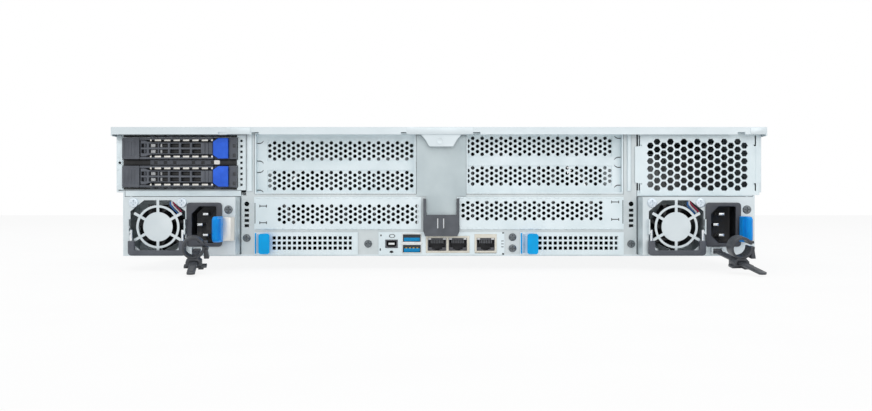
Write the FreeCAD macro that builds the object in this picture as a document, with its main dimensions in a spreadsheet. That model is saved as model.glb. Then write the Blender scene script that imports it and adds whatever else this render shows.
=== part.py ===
import FreeCAD, Part
import math
import os
import re
import Sketcher

# A rack server two units high, in millimetres. Its rear panel, with the power supplies and the
# expansion slots, faces -Y. Its drive trays and rack ears face +Y. +X is to the right as seen from
# the rear, and the origin is the middle of the underside of the chassis floor.

doc = FreeCAD.newDocument("RackServer")
sheet = doc.addObject("Spreadsheet::Sheet", "Sizes")

sizes = {
    # chassis shell: a folded tray, wider above the shoulder than below it
    "depth": 780, "upper_width": 438, "lower_width": 429.2, "shoulder": 43.2, "wall_top": 85.7,
    "steel": 1.2, "wall_flange": 8, "fit": 0.3,
    # top cover and the fixed panel in front of it
    "cover_sheet": 1, "cover_top": 87, "cover_skirt": 6, "cover_split": 180, "cover_overhang": 10,
    "lip_drop": 5, "lip_tab_place": 1.5, "lip_tab_top": 27.2, "lip_tab_waist": 21.2,
    "lip_tab_end": 16.1, "lip_tab_drop": 3.4, "lip_tab_length": 8, "lip_notch": 1.6,
    "lip_notch_wide": 5, "notch_one": -145.8, "notch_two": -123.4, "notch_three": -23,
    "notch_four": 25.3, "notch_five": 203,
    "latch_place": -60, "latch_length": 110, "latch_width": 34, "latch_thick": 3, "latch_dish": 3.4,
    "latch_gap": 1, "latch_pin": 0.9, "pin_fit": 0.05, "latch_finger": 12,
    # rear wall and its posts
    "post_edge": 134.2, "post_hole": 1.6, "post_slot": 3, "post_slot_tall": 2, "post_pitch": 3.5,
    "post_slot_place": 130.6, "post_slot_low": 19.6, "post_hole_high": 35.4, "shelf_low": 41.2,
    # riser windows and their slot covers
    "riser_edge": 125.6, "riser_left_end": 15.3, "riser_right_start": 18.3, "riser_low": 41.9,
    "riser_high": 84, "riser_recess": 6, "riser_sheet": 1, "riser_depth": 150,
    "slot_pitch": 20.32, "slot_left_low": 51.4, "slot_right_low": 54.6, "slot_window_tall": 14,
    "slot_window_long": 100, "slot_left_place": -67.3, "slot_right_place": 68.5,
    "slot_cover_long": 107, "slot_cover_tall": 15.2, "slot_sheet": 0.8, "slot_tab": 8,
    "slot_hole": 9, "slot_hole_pitch": 12.4,
    # low-profile slot covers
    "low_start": 12, "low_long": 113.4, "low_bottom": 18.1, "low_tall": 22, "low_window_edge": 3,
    "low_sheet": 1, "low_finger": 2, "low_finger_pitch": 11.8,
    # network-card bay covers with their pull tabs
    "card_bay_start": 55, "card_bay_long": 70.4, "card_bay_low": 0.8, "card_bay_tall": 15.4,
    "card_sheet": 1, "card_rail": 45, "card_rail_tall": 9, "card_hole": 4,
    "card_hole_pitch": 7, "card_hole_start": 13.6, "card_hole_low": 4.2,
    "card_tab_wide": 7.2, "card_tab_tall": 13.6, "card_tab_out": 10, "card_tab_thick": 2.4,
    "card_tab_start": 4.4, "card_tab_stem": 3.2, "card_tab_round": 1, "card_window_edge": 3,
    # input and output panel
    "io_start": -41, "io_long": 85.4, "io_low": 0.8, "io_tall": 15.4, "io_sheet": 1,
    "io_window_edge": 0.5,
    "socket_depth": 16, "socket_out": 0.6, "socket_wall": 0.7,
    "display_place": -32.2, "display_wide": 8.4, "display_tall": 5.6, "display_low": 5.5,
    "usb_place": -18.4, "usb_wide": 13.2, "usb_tall": 13.4, "usb_low": 1.9, "usb_mouth": 5.2,
    "lan_pair_place": 5.9, "lan_pair_wide": 29.6, "lan_pair_tall": 11.4, "lan_low": 2.2,
    "lan_single_place": 31.7, "lan_single_wide": 15, "lan_single_tall": 12.7,
    "lan_mouth_wide": 11.8, "lan_mouth_tall": 7.6, "lan_mouth_low": 1.4, "lan_mouth_deep": 12,
    # bracket over the middle of the rear wall
    "bracket_place": 1.6, "bracket_wide": 33.6, "bracket_low": 40.6, "bracket_high": 81.6,
    "bracket_sheet": 1, "bracket_neck_wide": 20.2, "bracket_neck_low": 20,
    "foot_wide": 24.4, "foot_high": 39, "foot_low": 13.6, "foot_thick": 5.6, "foot_arm": 1.8,
    "foot_floor": 28, "foot_taper": 3.4, "foot_taper_in": 1.4,
    # vent panel at the upper right
    "vent_low": 44.7, "vent_high": 84.2, "vent_edge": 135.2, "vent_hole": 7.4, "vent_pitch": 8.4,
    "vent_columns": 10, "vent_rows": 4, "vent_start": 8.4, "vent_row_low": 5, "vent_return": 12,
    # rear drive cage, drive trays, levers and release buttons
    "cage_depth": 122, "cage_sheet": 1, "cage_low": 44.7, "cage_high": 82.2,
    "cage_strip": 4.4, "cage_strip_hole": 1.6, "cage_strip_pitch": 3.73, "cage_strip_low": 47.6,
    "cage_window": 4.6, "cage_window_tall": 2, "cage_window_pitch": 6.8, "cage_window_start": 18,
    "tray_wide": 77.8, "tray_tall": 14.5, "tray_left": -214.7, "tray_low": 46.7,
    "tray_pitch": 19, "tray_proud": 4, "tray_long": 112, "grip_wide": 12, "grip_deep": 13,
    "grip_cut": 1,
    "tray_end_wide": 4.9, "tray_end_deep": 10, "tray_rail": 3.7, "tray_rim": 1.5,
    "tray_rim_back": 9, "tray_front_wall": 1, "drive_long": 96, "drive_tall": 9.5,
    "lever_pivot": 15.4, "lever_end": 61.6, "lever_tall": 8, "lever_deep": 4, "lever_pin": 1,
    "lever_set_back": 0.6, "lever_flare": 3.4, "lever_window": 6.1, "lever_window_tall": 2.7,
    "lever_window_pitch": 7.45, "lever_window_start": 25.1, "lever_window_row": 4,
    "button_start": 62.2, "button_long": 10.2, "button_nose": 9, "button_flare": 3.6,
    "button_out": 2, "button_cap": 2.2, "button_stem": 3,
    # power supplies, with the fan guard, handle, latch, inlet, cable strap and cable clamp
    "psu_place": 171.75, "psu_wide": 73.5, "psu_tall": 38.5, "psu_low": 1.6, "psu_long": 185,
    "psu_proud": 20, "psu_sheet": 1, "psu_fan_place": 22.2, "psu_fan_height": 18.6,
    "psu_fan_room": 36, "psu_fan_room_wide": 39.4, "guard_hub": 9.75, "guard_ring": 14.3,
    "guard_ring_wide": 1.5, "guard_spoke": 1.8, "guard_spokes": 6, "guard_half_wide": 18.2,
    "guard_half_tall": 17.6, "guard_flat_wide": 9, "guard_flat_tall": 10.3,
    "psu_rotor": 16.4, "psu_rotor_hub": 8.6, "psu_rotor_deep": 14, "psu_rotor_gap": 3,
    "psu_blades": 7, "ear_thick": 0.8, "ear_tall": 10, "ear_out": 4.6,
    "handle_wide": 37.8, "handle_arm": 4.2, "handle_bar": 3.5, "handle_thick": 3.4,
    "handle_cut": 2.4, "handle_low": -0.4, "handle_sleeve": 9.4, "handle_rod": 0.9,
    "handle_axis_out": 2.8, "rod_gap": 0.2,
    "inlet_start": 41.4, "inlet_wide": 23.4, "inlet_low": 5.4, "inlet_tall": 29.2,
    "inlet_out": 1.8, "inlet_step": 1.5, "inlet_body": 26, "inlet_mouth_wide": 16.3,
    "inlet_mouth_tall": 24.2, "inlet_mouth_deep": 17, "inlet_cut": 4.9, "pin_thick": 2,
    "pin_wide": 4, "pin_out": 12, "pin_spread": 7, "pin_offset": 3.8,
    "spring_root": 72.4, "spring_low": 8.8, "spring_tall": 16.8, "spring_sheet": 0.8,
    "spring_out": 6.6, "grip_place": 62.7, "grip_thick": 3.7, "grip_out": 26,
    "strap_place": 48.6, "strap_height": 2.5, "strap_wide": 5, "strap_thick": 1.5,
    "strap_long": 74, "strap_drift": 11, "strap_droop": 8.5, "strap_barrel": 1.7,
    "strap_pin": 0.8, "strap_side_gap": 0.5, "anchor_wall": 1, "anchor_out": 4.6,
    "anchor_tall": 4.4, "strap_axis_out": 2.6,
    "clamp_place": 36, "clamp_long": 9, "clamp_loop": 5.5, "clamp_band": 1.6, "clamp_block": 10,
    "clamp_block_tall": 6.4, "clamp_sink": 0.9, "clamp_tab": 3,
    # tunnels that carry the power supplies
    "tunnel_sheet": 1, "tunnel_depth": 200, "tunnel_gap": 0.5, "shelf_high": 44.4,
    # front cage, front trays and levers
    "front_cage_depth": 190, "front_bays": 4, "front_tray_wide": 104.4, "front_tray_tall": 27,
    "front_pitch": 106.4, "front_tray_low": 2.2, "front_tray_long": 165, "front_face_deep": 12,
    "front_tray_proud": 2, "front_wall": 1.6, "front_divider": 1.2, "front_rail": 1.5,
    "front_rail_tall": 20, "front_vent_tall": 4.6, "front_vent_pitch": 8.2,
    "front_vent_long": 84, "front_vent_rows": 6, "front_vent_low": 36, "front_lever_start": 9,
    "front_lever_long": 62, "front_lever_tall": 15, "front_lever_thick": 4,
    "front_lever_pin": 1.2, "front_drive_tall": 22, "front_drive_long": 147,
    # rack ears and power button
    "rack_width": 482.6, "ear_plate": 2.5, "rack_hole_across": 465.1,
    "rack_hole_up": 76.2, "rack_slot_long": 10.2, "rack_slot_tall": 6.8, "ear_side": 40,
    "ear_gap": 0.2, "ear_box_tall": 52, "ear_box_wide": 19, "ear_box_out": 14, "power_button": 4,
    "power_travel": 1.2, "power_height": 60, "power_deep": 6, "power_out": 0.8,
    # inside: boards, heat sinks, memory modules and fans
    "board": 1.6, "board_wide": 250, "board_rear": -325, "board_front": 45,
    "tongue_start": -45, "tongue_long": 92, "tongue_rear": -372, "standoff": 3.2,
    "standoff_radius": 3,
    "socket_tall": 5, "cpu_socket_wide": 60, "cpu_socket_long": 78, "sink_place": 66,
    "sink_wide": 72, "sink_long": 108, "sink_tall": 60, "sink_base": 6,
    "sink_fin": 1, "sink_fins": 12, "sink_rear": -148,
    "memory_long": 133, "memory_tall": 31, "memory_thick": 3.4, "memory_pitch": 9,
    "memory_rear": -160, "memory_outer": 107,
    "fan_rear": 82, "fan_deep": 38, "fan_bore": 38.6, "fan_pitch": 86, "fan_count": 4,
    "fan_edge": 4, "fan_tall": 81, "fan_rotor": 37.6, "fan_hub": 18, "fan_strut": 4,
    "fan_motor_deep": 3, "fan_rotor_deep": 28, "fan_blades": 7,
}

# Places that several pieces share, each worked out from the sizes above.
places = {
    "rear": "-depth / 2",
    "front": "depth / 2",
    "upper": "upper_width / 2",
    "lower": "lower_width / 2",
    "cover_edge": "upper + fit + cover_sheet",
    "cover_under": "cover_top - cover_sheet",
    "lever_axis_y": "lever_set_back + lever_deep / 2",
    "handle_rod_out": "handle_wide / 2 - ear_thick - rod_gap - handle_rod",
    "mouth_start": "inlet_start + (inlet_wide - inlet_mouth_wide) / 2",
    "mouth_low": "inlet_low + (inlet_tall - inlet_mouth_tall) / 2",
    "anchor_half": "strap_wide / 2 + strap_side_gap",
    "strap_slope": "strap_drift / strap_long",
    "front_shelf": "front_tray_low + front_tray_tall + fit",
    "front_tray_start": "-front_bays * front_pitch / 2 + (front_pitch - front_tray_wide) / 2",
    "rack_middle": "(cover_top + ear_gap) / 2",
    "board_top": "steel + standoff + board",
    "fan_middle": "steel + fan_tall / 2",
    "psu_face": "rear - psu_proud",
    "tray_face": "rear - tray_proud",
    "cage_left": "tray_left - fit - cage_sheet",
    "cage_right": "tray_left + tray_wide + fit + cage_sheet",
    "cage_strip_end": "cage_right + cage_strip",
    "latch_axis_y": "latch_place + latch_length / 2 - latch_thick / 2",
    "latch_axis_z": "cover_top - latch_thick / 2",
    "latch_reach": "latch_length - latch_thick",
}


def write_sheet():
    for row, (name, size) in enumerate(sizes.items(), start=1):
        sheet.set("A%d" % row, name.replace("_", " "))
        sheet.set("B%d" % row, str(size))
        sheet.setAlias("B%d" % row, name)
    doc.recompute()


def formula(text):
    """Write a formula in plain size names as one that reads the sheet."""
    def swap(match):
        word = match.group()
        if word in places:
            return "(" + formula(places[word]) + ")"
        return "Sizes." + word if word in sizes else word
    return re.sub(r"[a-z][a-z_0-9]*", swap, str(text))


def number(text):
    return float(sheet.evalExpression(formula(text)))


def move(item, place):
    for axis, text in zip("xyz", place):
        item.setExpression("Placement.Base." + axis, formula(text))


def new_body(label, place=("0", "0", "0")):
    body = doc.addObject("PartDesign::Body", label)
    body.Label = label
    move(body, place)
    return body


def new_sketch(body, name, plane, level="0", middle=("0", "0")):
    """A sketch on one of the body's origin planes, moved to a level along the axis across it."""
    sketch = body.newObject("Sketcher::SketchObject", name)
    origin_plane = [item for item in body.Origin.OriginFeatures if item.Role == plane][0]
    sketch.AttachmentSupport = [(origin_plane, "")]
    sketch.MapMode = "FlatFace"
    sketch.setExpression("AttachmentOffset.Base.x", formula(middle[0]))
    sketch.setExpression("AttachmentOffset.Base.y", formula(middle[1]))
    across = "-1 * (%s)" % level if plane == "XZ_Plane" else level
    sketch.setExpression("AttachmentOffset.Base.z", formula(across))
    return sketch


def add_outline(sketch, points):
    """A closed outline of straight edges through points, each a pair of formulas."""
    first = sketch.GeometryCount
    count = len(points)
    spots = [FreeCAD.Vector(number(x), number(y), 0) for x, y in points]
    edges = [Part.LineSegment(spots[i], spots[(i + 1) % count]) for i in range(count)]
    sketch.addGeometry(edges)
    links = []
    for i in range(count):
        links.append(Sketcher.Constraint("Coincident", first + i, 2, first + (i + 1) % count, 1))
    sketch.addConstraint(links)
    for i, (point, spot) in enumerate(zip(points, spots)):
        pin_point(sketch, first + i, 1, point, spot)


def pin_point(sketch, geometry, end, point, spot):
    held = [Sketcher.Constraint("DistanceX", -1, 1, geometry, end, spot.x),
            Sketcher.Constraint("DistanceY", -1, 1, geometry, end, spot.y)]
    first = sketch.ConstraintCount
    sketch.addConstraint(held)
    sketch.setExpression("Constraints[%d]" % first, formula(point[0]))
    sketch.setExpression("Constraints[%d]" % (first + 1), formula(point[1]))


def add_box(sketch, x, y, wide, tall):
    """A rectangle from its lower left corner, its width and its height."""
    right = "%s + %s" % (x, wide)
    top = "%s + %s" % (y, tall)
    add_outline(sketch, [(x, y), (right, y), (right, top), (x, top)])


def add_circle(sketch, x, y, radius):
    middle = FreeCAD.Vector(number(x), number(y), 0)
    index = sketch.addGeometry(Part.Circle(middle, FreeCAD.Vector(0, 0, 1), number(radius)))
    pin_point(sketch, index, 3, (x, y), middle)
    held = sketch.addConstraint(Sketcher.Constraint("Radius", index, number(radius)))
    sketch.setExpression("Constraints[%d]" % held, formula(radius))


def add_polygon(sketch, x, y, radius, sides):
    """A regular polygon drawn round a circle, with a flat at its top and bottom."""
    points = []
    for corner in range(sides):
        angle = 360 / sides * (corner + 0.5) - 90
        reach = "(%s) / cos(%g)" % (radius, 180 / sides)
        points.append(("%s + %s * cos(%g)" % (x, reach, angle),
                       "%s + %s * sin(%g)" % (y, reach, angle)))
    add_outline(sketch, points)


def pad(body, sketch, length, towards_plus=True):
    """Raise a sketch towards the plus or the minus end of the axis across it."""
    feature = body.newObject("PartDesign::Pad", sketch.Name + "Pad")
    feature.Profile = sketch
    feature.Reversed = is_reversed(sketch, towards_plus)
    feature.setExpression("Length", formula(length))
    body.Tip = feature
    return feature


def pocket(body, sketch, depth, towards_plus=True):
    """Cut a sketch into the body towards the plus or the minus end of the axis across it."""
    before = body.Tip
    feature = body.newObject("PartDesign::Pocket", sketch.Name + "Pocket")
    feature.Profile = sketch
    feature.Reversed = not is_reversed(sketch, towards_plus)
    feature.setExpression("Length", formula(depth))
    body.Tip = feature
    cuts.append((before, feature))
    return feature


def is_reversed(sketch, towards_plus):
    faces_minus = sketch.AttachmentSupport[0][0].Role == "XZ_Plane"
    return faces_minus == towards_plus


def repeat(body, feature, across=None, up=None):
    """Repeat a feature in rows: each of across and up is a pair of a count and a pitch."""
    before = body.Tip
    many = body.newObject("PartDesign::MultiTransform", feature.Name + "Rows")
    many.Originals = [feature]
    sketch = feature.Profile[0]
    steps = []
    for axis, row in (("H_Axis", across), ("V_Axis", up)):
        if row is None:
            continue
        step = body.newObject("PartDesign::LinearPattern", feature.Name + axis)
        step.Direction = (sketch, [axis])
        step.setExpression("Occurrences", formula(row[0]))
        step.setExpression("Length", formula("(%s - 1) * (%s)" % row))
        steps.append(step)
    many.Transformations = steps
    body.Tip = many
    if feature.TypeId == "PartDesign::Pocket":
        cuts.append((before, many))
    return many


def round_edges(body, radius, wanted):
    """Round the edges of the body that the test picks by the place of their middle."""
    doc.recompute()
    base = body.Tip
    names = []
    for index, edge in enumerate(base.Shape.Edges, start=1):
        if wanted(edge):
            names.append("Edge%d" % index)
    feature = body.newObject("PartDesign::Fillet", base.Name + "Round")
    feature.Base = (base, names)
    feature.setExpression("Radius", formula(radius))
    body.Tip = feature
    return feature


def runs_along(edge, axis):
    """Whether an edge is straight and parallel to an axis, given as x, y or z."""
    if len(edge.Vertexes) != 2:
        return False
    step = edge.Vertexes[1].Point - edge.Vertexes[0].Point
    size = abs(getattr(step, axis))
    return size > 1e-6 and abs(step.Length - size) < 1e-6


def gather(label, members, place=("0", "0", "0")):
    """One node of several separate solids, each placed by a triple of formulas."""
    copies = []
    for index, (source, spot) in enumerate(members):
        copy = doc.addObject("App::Link", "%sCopy%d" % (label, index))
        copy.setLink(source)
        copy.LinkTransform = True
        move_link(copy, spot)
        copies.append(copy)
    group = doc.addObject("Part::Compound", label)
    group.Label = label
    group.Links = copies
    move(group, place)
    return group


def move_link(copy, spot):
    for axis, text in zip("xyz", spot):
        copy.setExpression("LinkPlacement.Base." + axis, formula(text))


cuts = []
write_sheet()


def mirrored(points):
    """An outline's right half and, after it, the same points on the left."""
    left = [("-1 * (%s)" % x, y) for x, y in reversed(points)]
    return points + left


def mirror_across(source, label):
    """A left-handed copy of a piece, mirrored in the plane x = 0."""
    twin = doc.addObject("Part::Mirroring", label)
    twin.Source = source
    twin.Normal = FreeCAD.Vector(1, 0, 0)
    return twin


# ---- chassis shell ----

def make_chassis_base():
    body = new_body("chassis_base")
    section = new_sketch(body, "TraySection", "XZ_Plane", "rear")
    add_outline(section, mirrored([
        ("lower", "0"), ("lower", "shoulder"), ("upper", "shoulder"), ("upper", "wall_top"),
        ("upper - wall_flange", "wall_top"), ("upper - wall_flange", "wall_top - steel"),
        ("upper - steel", "wall_top - steel"), ("upper - steel", "shoulder + steel"),
        ("lower - steel", "shoulder + steel"), ("lower - steel", "steel")]))
    pad(body, section, "depth")
    stud = new_sketch(body, "BoardStud", "XY_Plane", "steel")
    add_polygon(stud, "-board_wide / 2 + 12", "board_rear + 12", "standoff_radius", 6)
    raised = pad(body, stud, "standoff")
    repeat(body, raised, ("3", "board_wide / 2 - 12"), ("3", "(board_front - board_rear) / 2 - 12"))
    return body


def add_cover_section(body, start, end):
    """A flat sheet with a skirt folded down along each side."""
    section = new_sketch(body, "CoverSection", "XZ_Plane", start)
    skirt_low = "cover_top - cover_skirt"
    add_outline(section, mirrored([
        ("cover_edge - cover_sheet", "cover_under"), ("cover_edge - cover_sheet", skirt_low),
        ("cover_edge", skirt_low), ("cover_edge", "cover_top")]))
    pad(body, section, "%s - (%s)" % (end, start))


def make_cover_tab():
    """The tab under the middle of the rear lip, a plate welded to the lip's inside."""
    body = new_body("cover_tab")
    lip_low = "cover_top - lip_drop"
    steps = (("lip_tab_top", "0"), ("lip_tab_waist", "lip_tab_drop"),
             ("lip_tab_end", "lip_tab_length"))
    plate = new_sketch(body, "TabPlate", "XZ_Plane", "rear - cover_overhang + cover_sheet")
    left = [("lip_tab_place - %s / 2" % wide, "%s - %s" % (lip_low, drop)) for wide, drop in steps]
    right = [("lip_tab_place + %s / 2" % wide, "%s - %s" % (lip_low, drop))
             for wide, drop in reversed(steps)]
    add_outline(plate, left + right + [("lip_tab_place + lip_tab_top / 2", "cover_under"),
                                       ("lip_tab_place - lip_tab_top / 2", "cover_under")])
    pad(body, plate, "cover_sheet")
    round_edges(body, "lip_tab_drop / 2", lambda edge: runs_along(edge, "y")
                and edge.CenterOfMass.z < number(lip_low) - number("lip_tab_length") + 0.01)
    return body


def make_top_cover():
    """The removable lid, with its folded rear lip, the lip's tab and a dish for the latch."""
    body = new_body("cover_lid")
    add_cover_section(body, "rear - cover_overhang", "cover_split")
    lip_low = "cover_top - lip_drop"
    lower_edge = []
    for place in ("notch_one", "notch_two", "notch_three", "notch_four", "notch_five"):
        for side, rise in (("-", "0"), ("-", "lip_notch"), ("+", "lip_notch"), ("+", "0")):
            lower_edge.append(("%s %s lip_notch_wide / 2" % (place, side),
                               "%s + %s" % (lip_low, rise)))
    lip = new_sketch(body, "RearLip", "XZ_Plane", "rear - cover_overhang")
    add_outline(lip, [("-1 * cover_edge", lip_low)] + lower_edge + [
        ("cover_edge", lip_low), ("cover_edge", "cover_top"), ("-1 * cover_edge", "cover_top")])
    pad(body, lip, "cover_sheet")
    dish = new_sketch(body, "LatchDish", "XY_Plane", "cover_under")
    room = "latch_length + 2 * latch_gap"
    across = "latch_width + 2 * latch_gap"
    add_box(dish, "-(%s) / 2 - cover_sheet" % across, "latch_place - (%s) / 2 - cover_sheet" % room,
            "%s + 2 * cover_sheet" % across, "%s + 2 * cover_sheet" % room)
    pad(body, dish, "latch_dish", towards_plus=False)
    hollow = new_sketch(body, "LatchHollow", "XY_Plane", "cover_top")
    add_box(hollow, "-(%s) / 2" % across, "latch_place - (%s) / 2" % room, across, room)
    pocket(body, hollow, "latch_dish", towards_plus=False)
    bore = new_sketch(body, "LatchBore", "YZ_Plane", "-(%s) / 2 - cover_sheet" % across)
    add_polygon(bore, "latch_axis_y", "latch_axis_z", "latch_pin + pin_fit", 8)
    pocket(body, bore, "%s + 2 * cover_sheet" % across)
    here = ("0", "0", "0")
    return gather("top_cover", [(body, here), (make_cover_tab(), here)])


def make_front_top_panel():
    body = new_body("front_top_panel")
    add_cover_section(body, "cover_split + fit", "front")
    return body


def make_cover_latch():
    """A flat lever that lies in the lid's dish and lifts about a pin at its front end."""
    body = new_body("cover_latch")
    arm = new_sketch(body, "LatchArm", "YZ_Plane", "-latch_width / 2")
    add_box(arm, "latch_axis_y - latch_reach", "cover_top - latch_thick", "latch_reach",
            "latch_thick")
    pad(body, arm, "latch_width")
    knuckle = new_sketch(body, "LatchKnuckle", "YZ_Plane", "-latch_width / 2")
    add_polygon(knuckle, "latch_axis_y", "latch_axis_z", "latch_thick / 2", 8)
    pad(body, knuckle, "latch_width")
    pin = new_sketch(body, "LatchPin", "YZ_Plane", "-latch_width / 2 - latch_gap - cover_sheet / 2")
    add_polygon(pin, "latch_axis_y", "latch_axis_z", "latch_pin * cos(15)", 12)
    pad(body, pin, "latch_width + 2 * latch_gap + cover_sheet")
    finger = new_sketch(body, "LatchFinger", "XY_Plane", "cover_top")
    add_circle(finger, "0", "latch_axis_y - latch_reach", "latch_finger")
    pocket(body, finger, "latch_thick", towards_plus=False)
    return body


# ---- rear wall and slot covers ----

def make_rear_wall():
    """The rear panel: two posts, a middle column and the windows between them."""
    body = new_body("rear_wall")
    outline = new_sketch(body, "WallOutline", "XZ_Plane", "rear")
    add_outline(outline, [
        ("-post_edge", "steel"), ("post_edge", "steel"), ("post_edge", "wall_top"),
        ("cage_strip_end + fit", "wall_top"), ("cage_strip_end + fit", "shelf_low"),
        ("-post_edge", "shelf_low")])
    pad(body, outline, "steel")
    windows = new_sketch(body, "Windows", "XZ_Plane", "rear")
    riser_tall = "riser_high - riser_low"
    add_box(windows, "-riser_edge", "riser_low", "riser_edge - riser_left_end", riser_tall)
    add_box(windows, "riser_right_start", "riser_low", "riser_edge - riser_right_start", riser_tall)
    for x in ("-low_start - low_long", "low_start"):
        add_box(windows, "%s + low_window_edge" % x, "low_bottom + low_window_edge",
                "low_long - 2 * low_window_edge", "low_tall - 2 * low_window_edge")
    for x in ("-card_bay_start - card_bay_long", "card_bay_start"):
        add_box(windows, "%s + card_window_edge" % x, "card_bay_low + card_window_edge / 2",
                "card_bay_long - 2 * card_window_edge", "card_bay_tall - card_window_edge")
    add_box(windows, "io_start + card_window_edge", "steel / 2",
            "io_long - 2 * card_window_edge", "io_low + io_tall - io_window_edge - steel / 2")
    pocket(body, windows, "steel")
    post_slot = new_sketch(body, "PostSlots", "XZ_Plane", "rear")
    holes = new_sketch(body, "PostHoles", "XZ_Plane", "rear")
    for side in ("-", ""):
        x = "%spost_slot_place" % side
        add_box(post_slot, "%s - post_slot / 2" % x, "post_slot_low", "post_slot", "post_slot_tall")
        add_polygon(holes, x, "post_hole_high", "post_hole", 8)
    repeat(body, pocket(body, post_slot, "steel"), up=("4", "post_pitch"))
    pocket(body, holes, "steel")
    return body


def make_riser_brackets():
    left = make_riser_bracket("left", "-riser_edge", "riser_edge - riser_left_end")
    right = make_riser_bracket("right", "riser_right_start", "riser_edge - riser_right_start")
    here = ("0", "0", "0")
    return gather("riser_brackets", [(left, here), (right, here)])


def make_riser_bracket(side, window_start, window_long):
    """A sheet frame behind the riser window, with two slots and a shelf that holds the riser."""
    body = new_body("riser_bracket_" + side)
    start = "%s + fit" % window_start
    long = "%s - 2 * fit" % window_long
    place = "slot_%s_place" % side
    face = new_sketch(body, "Face" + side, "XZ_Plane", "rear + riser_recess")
    add_box(face, start, "riser_low + fit", long, "riser_high - riser_low - 2 * fit")
    pad(body, face, "riser_sheet")
    rim = new_sketch(body, "Rim" + side, "XZ_Plane", "rear")
    add_box(rim, start, "riser_low + fit", long, "riser_high - riser_low - 2 * fit")
    pad(body, rim, "riser_recess")
    well = new_sketch(body, "Well" + side, "XZ_Plane", "rear")
    add_box(well, "%s + riser_sheet" % start, "riser_low + fit + riser_sheet",
            "%s - 2 * riser_sheet" % long, "riser_high - riser_low - 2 * fit - 2 * riser_sheet")
    pocket(body, well, "riser_recess")
    slot = new_sketch(body, "Slot" + side, "XZ_Plane", "rear + riser_recess")
    add_box(slot, "%s - slot_window_long / 2" % place, "slot_%s_low - slot_window_tall / 2" % side,
            "slot_window_long", "slot_window_tall")
    repeat(body, pocket(body, slot, "riser_sheet"), up=("2", "slot_pitch"))
    shelf = new_sketch(body, "Shelf" + side, "XZ_Plane", "rear + riser_recess + riser_sheet")
    add_box(shelf, start, "riser_high - fit - riser_sheet", long, "riser_sheet")
    pad(body, shelf, "riser_depth")
    return body


def make_riser_slot_cover():
    """A perforated blank that seats behind a riser slot, with a folded screw tab."""
    cover = new_body("slot_cover")
    plate = new_sketch(cover, "SlotPlate", "XZ_Plane")
    add_box(plate, "-slot_cover_long / 2", "-slot_cover_tall / 2", "slot_cover_long",
            "slot_cover_tall")
    pad(cover, plate, "slot_sheet")
    tab = new_sketch(cover, "SlotTab", "XZ_Plane", "slot_sheet")
    add_box(tab, "slot_cover_long / 2 - slot_sheet", "-slot_cover_tall / 2", "slot_sheet",
            "slot_cover_tall")
    pad(cover, tab, "slot_tab")
    hole = new_sketch(cover, "SlotHole", "XZ_Plane")
    columns = "floor((slot_window_long - slot_hole) / slot_hole_pitch) + 1"
    field = "(floor((slot_window_long - slot_hole) / slot_hole_pitch)) * slot_hole_pitch"
    add_polygon(hole, "-1 * %s / 2" % field, "0", "slot_hole / 2", 6)
    repeat(cover, pocket(cover, hole, "slot_sheet"), (columns, "slot_hole_pitch"))
    return cover


def make_low_slot_cover():
    """A perforated blank outside a low-profile slot, with notched edges."""
    cover = new_body("low_slot_cover")
    plate = new_sketch(cover, "LowPlate", "XZ_Plane", "rear - low_sheet")
    add_box(plate, "low_start", "low_bottom", "low_long", "low_tall")
    pad(cover, plate, "low_sheet")
    hole = new_sketch(cover, "LowHole", "XZ_Plane", "rear - low_sheet")
    columns = "floor((low_long - 16 - slot_hole) / slot_hole_pitch) + 1"
    add_polygon(hole, "low_start + slot_hole", "low_bottom + low_tall / 2", "slot_hole / 2", 6)
    repeat(cover, pocket(cover, hole, "low_sheet"), (columns, "slot_hole_pitch"))
    finger = new_sketch(cover, "LowFinger", "XZ_Plane", "rear - low_sheet")
    for z in ("low_bottom", "low_bottom + low_tall - low_finger"):
        add_box(finger, "low_start + low_finger_pitch", z, "low_finger", "low_finger")
    repeat(cover, pocket(cover, finger, "low_sheet"),
           ("floor(low_long / low_finger_pitch) - 1", "low_finger_pitch"))
    return cover


def make_slot_covers():
    """Four blanks behind the riser slots and two outside the low-profile slots."""
    seat = "rear + riser_recess + riser_sheet"
    tall = make_riser_slot_cover()
    members = []
    for source, side in ((tall, "left"), (mirror_across(tall, "slot_cover_mirror"), "right")):
        for step in ("", " + slot_pitch"):
            members.append((source, ("slot_%s_place" % side, seat, "slot_%s_low%s" % (side, step))))
    low = make_low_slot_cover()
    here = ("0", "0", "0")
    members.append((low, here))
    members.append((mirror_across(low, "low_slot_mirror"), here))
    return gather("slot_covers", members)


def make_card_cover(side, place):
    """A blank over a network-card bay: perforated face and two guide rails."""
    body = new_body("card_cover_" + side, (place, "rear", "card_bay_low"))
    face = new_sketch(body, "CardFace" + side, "XZ_Plane", "-fit - card_sheet")
    add_box(face, "0", "0", "card_bay_long", "card_bay_tall")
    pad(body, face, "card_sheet")
    rail = new_sketch(body, "CardRail" + side, "XZ_Plane", "-fit")
    for x in ("card_window_edge + fit", "card_bay_long - card_window_edge - fit - card_sheet"):
        add_box(rail, x, "(card_bay_tall - card_rail_tall) / 2", "card_sheet", "card_rail_tall")
    pad(body, rail, "card_rail")
    hole = new_sketch(body, "CardHole" + side, "XZ_Plane", "-fit - card_sheet")
    add_box(hole, "card_hole_start", "card_hole_low - card_hole / 2", "card_hole", "card_hole")
    columns = "floor((card_bay_long - card_hole_start - card_window_edge) / card_hole_pitch)"
    repeat(body, pocket(body, hole, "card_sheet"), (columns, "card_hole_pitch"),
           ("2", "card_hole_pitch"))
    return body


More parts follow.
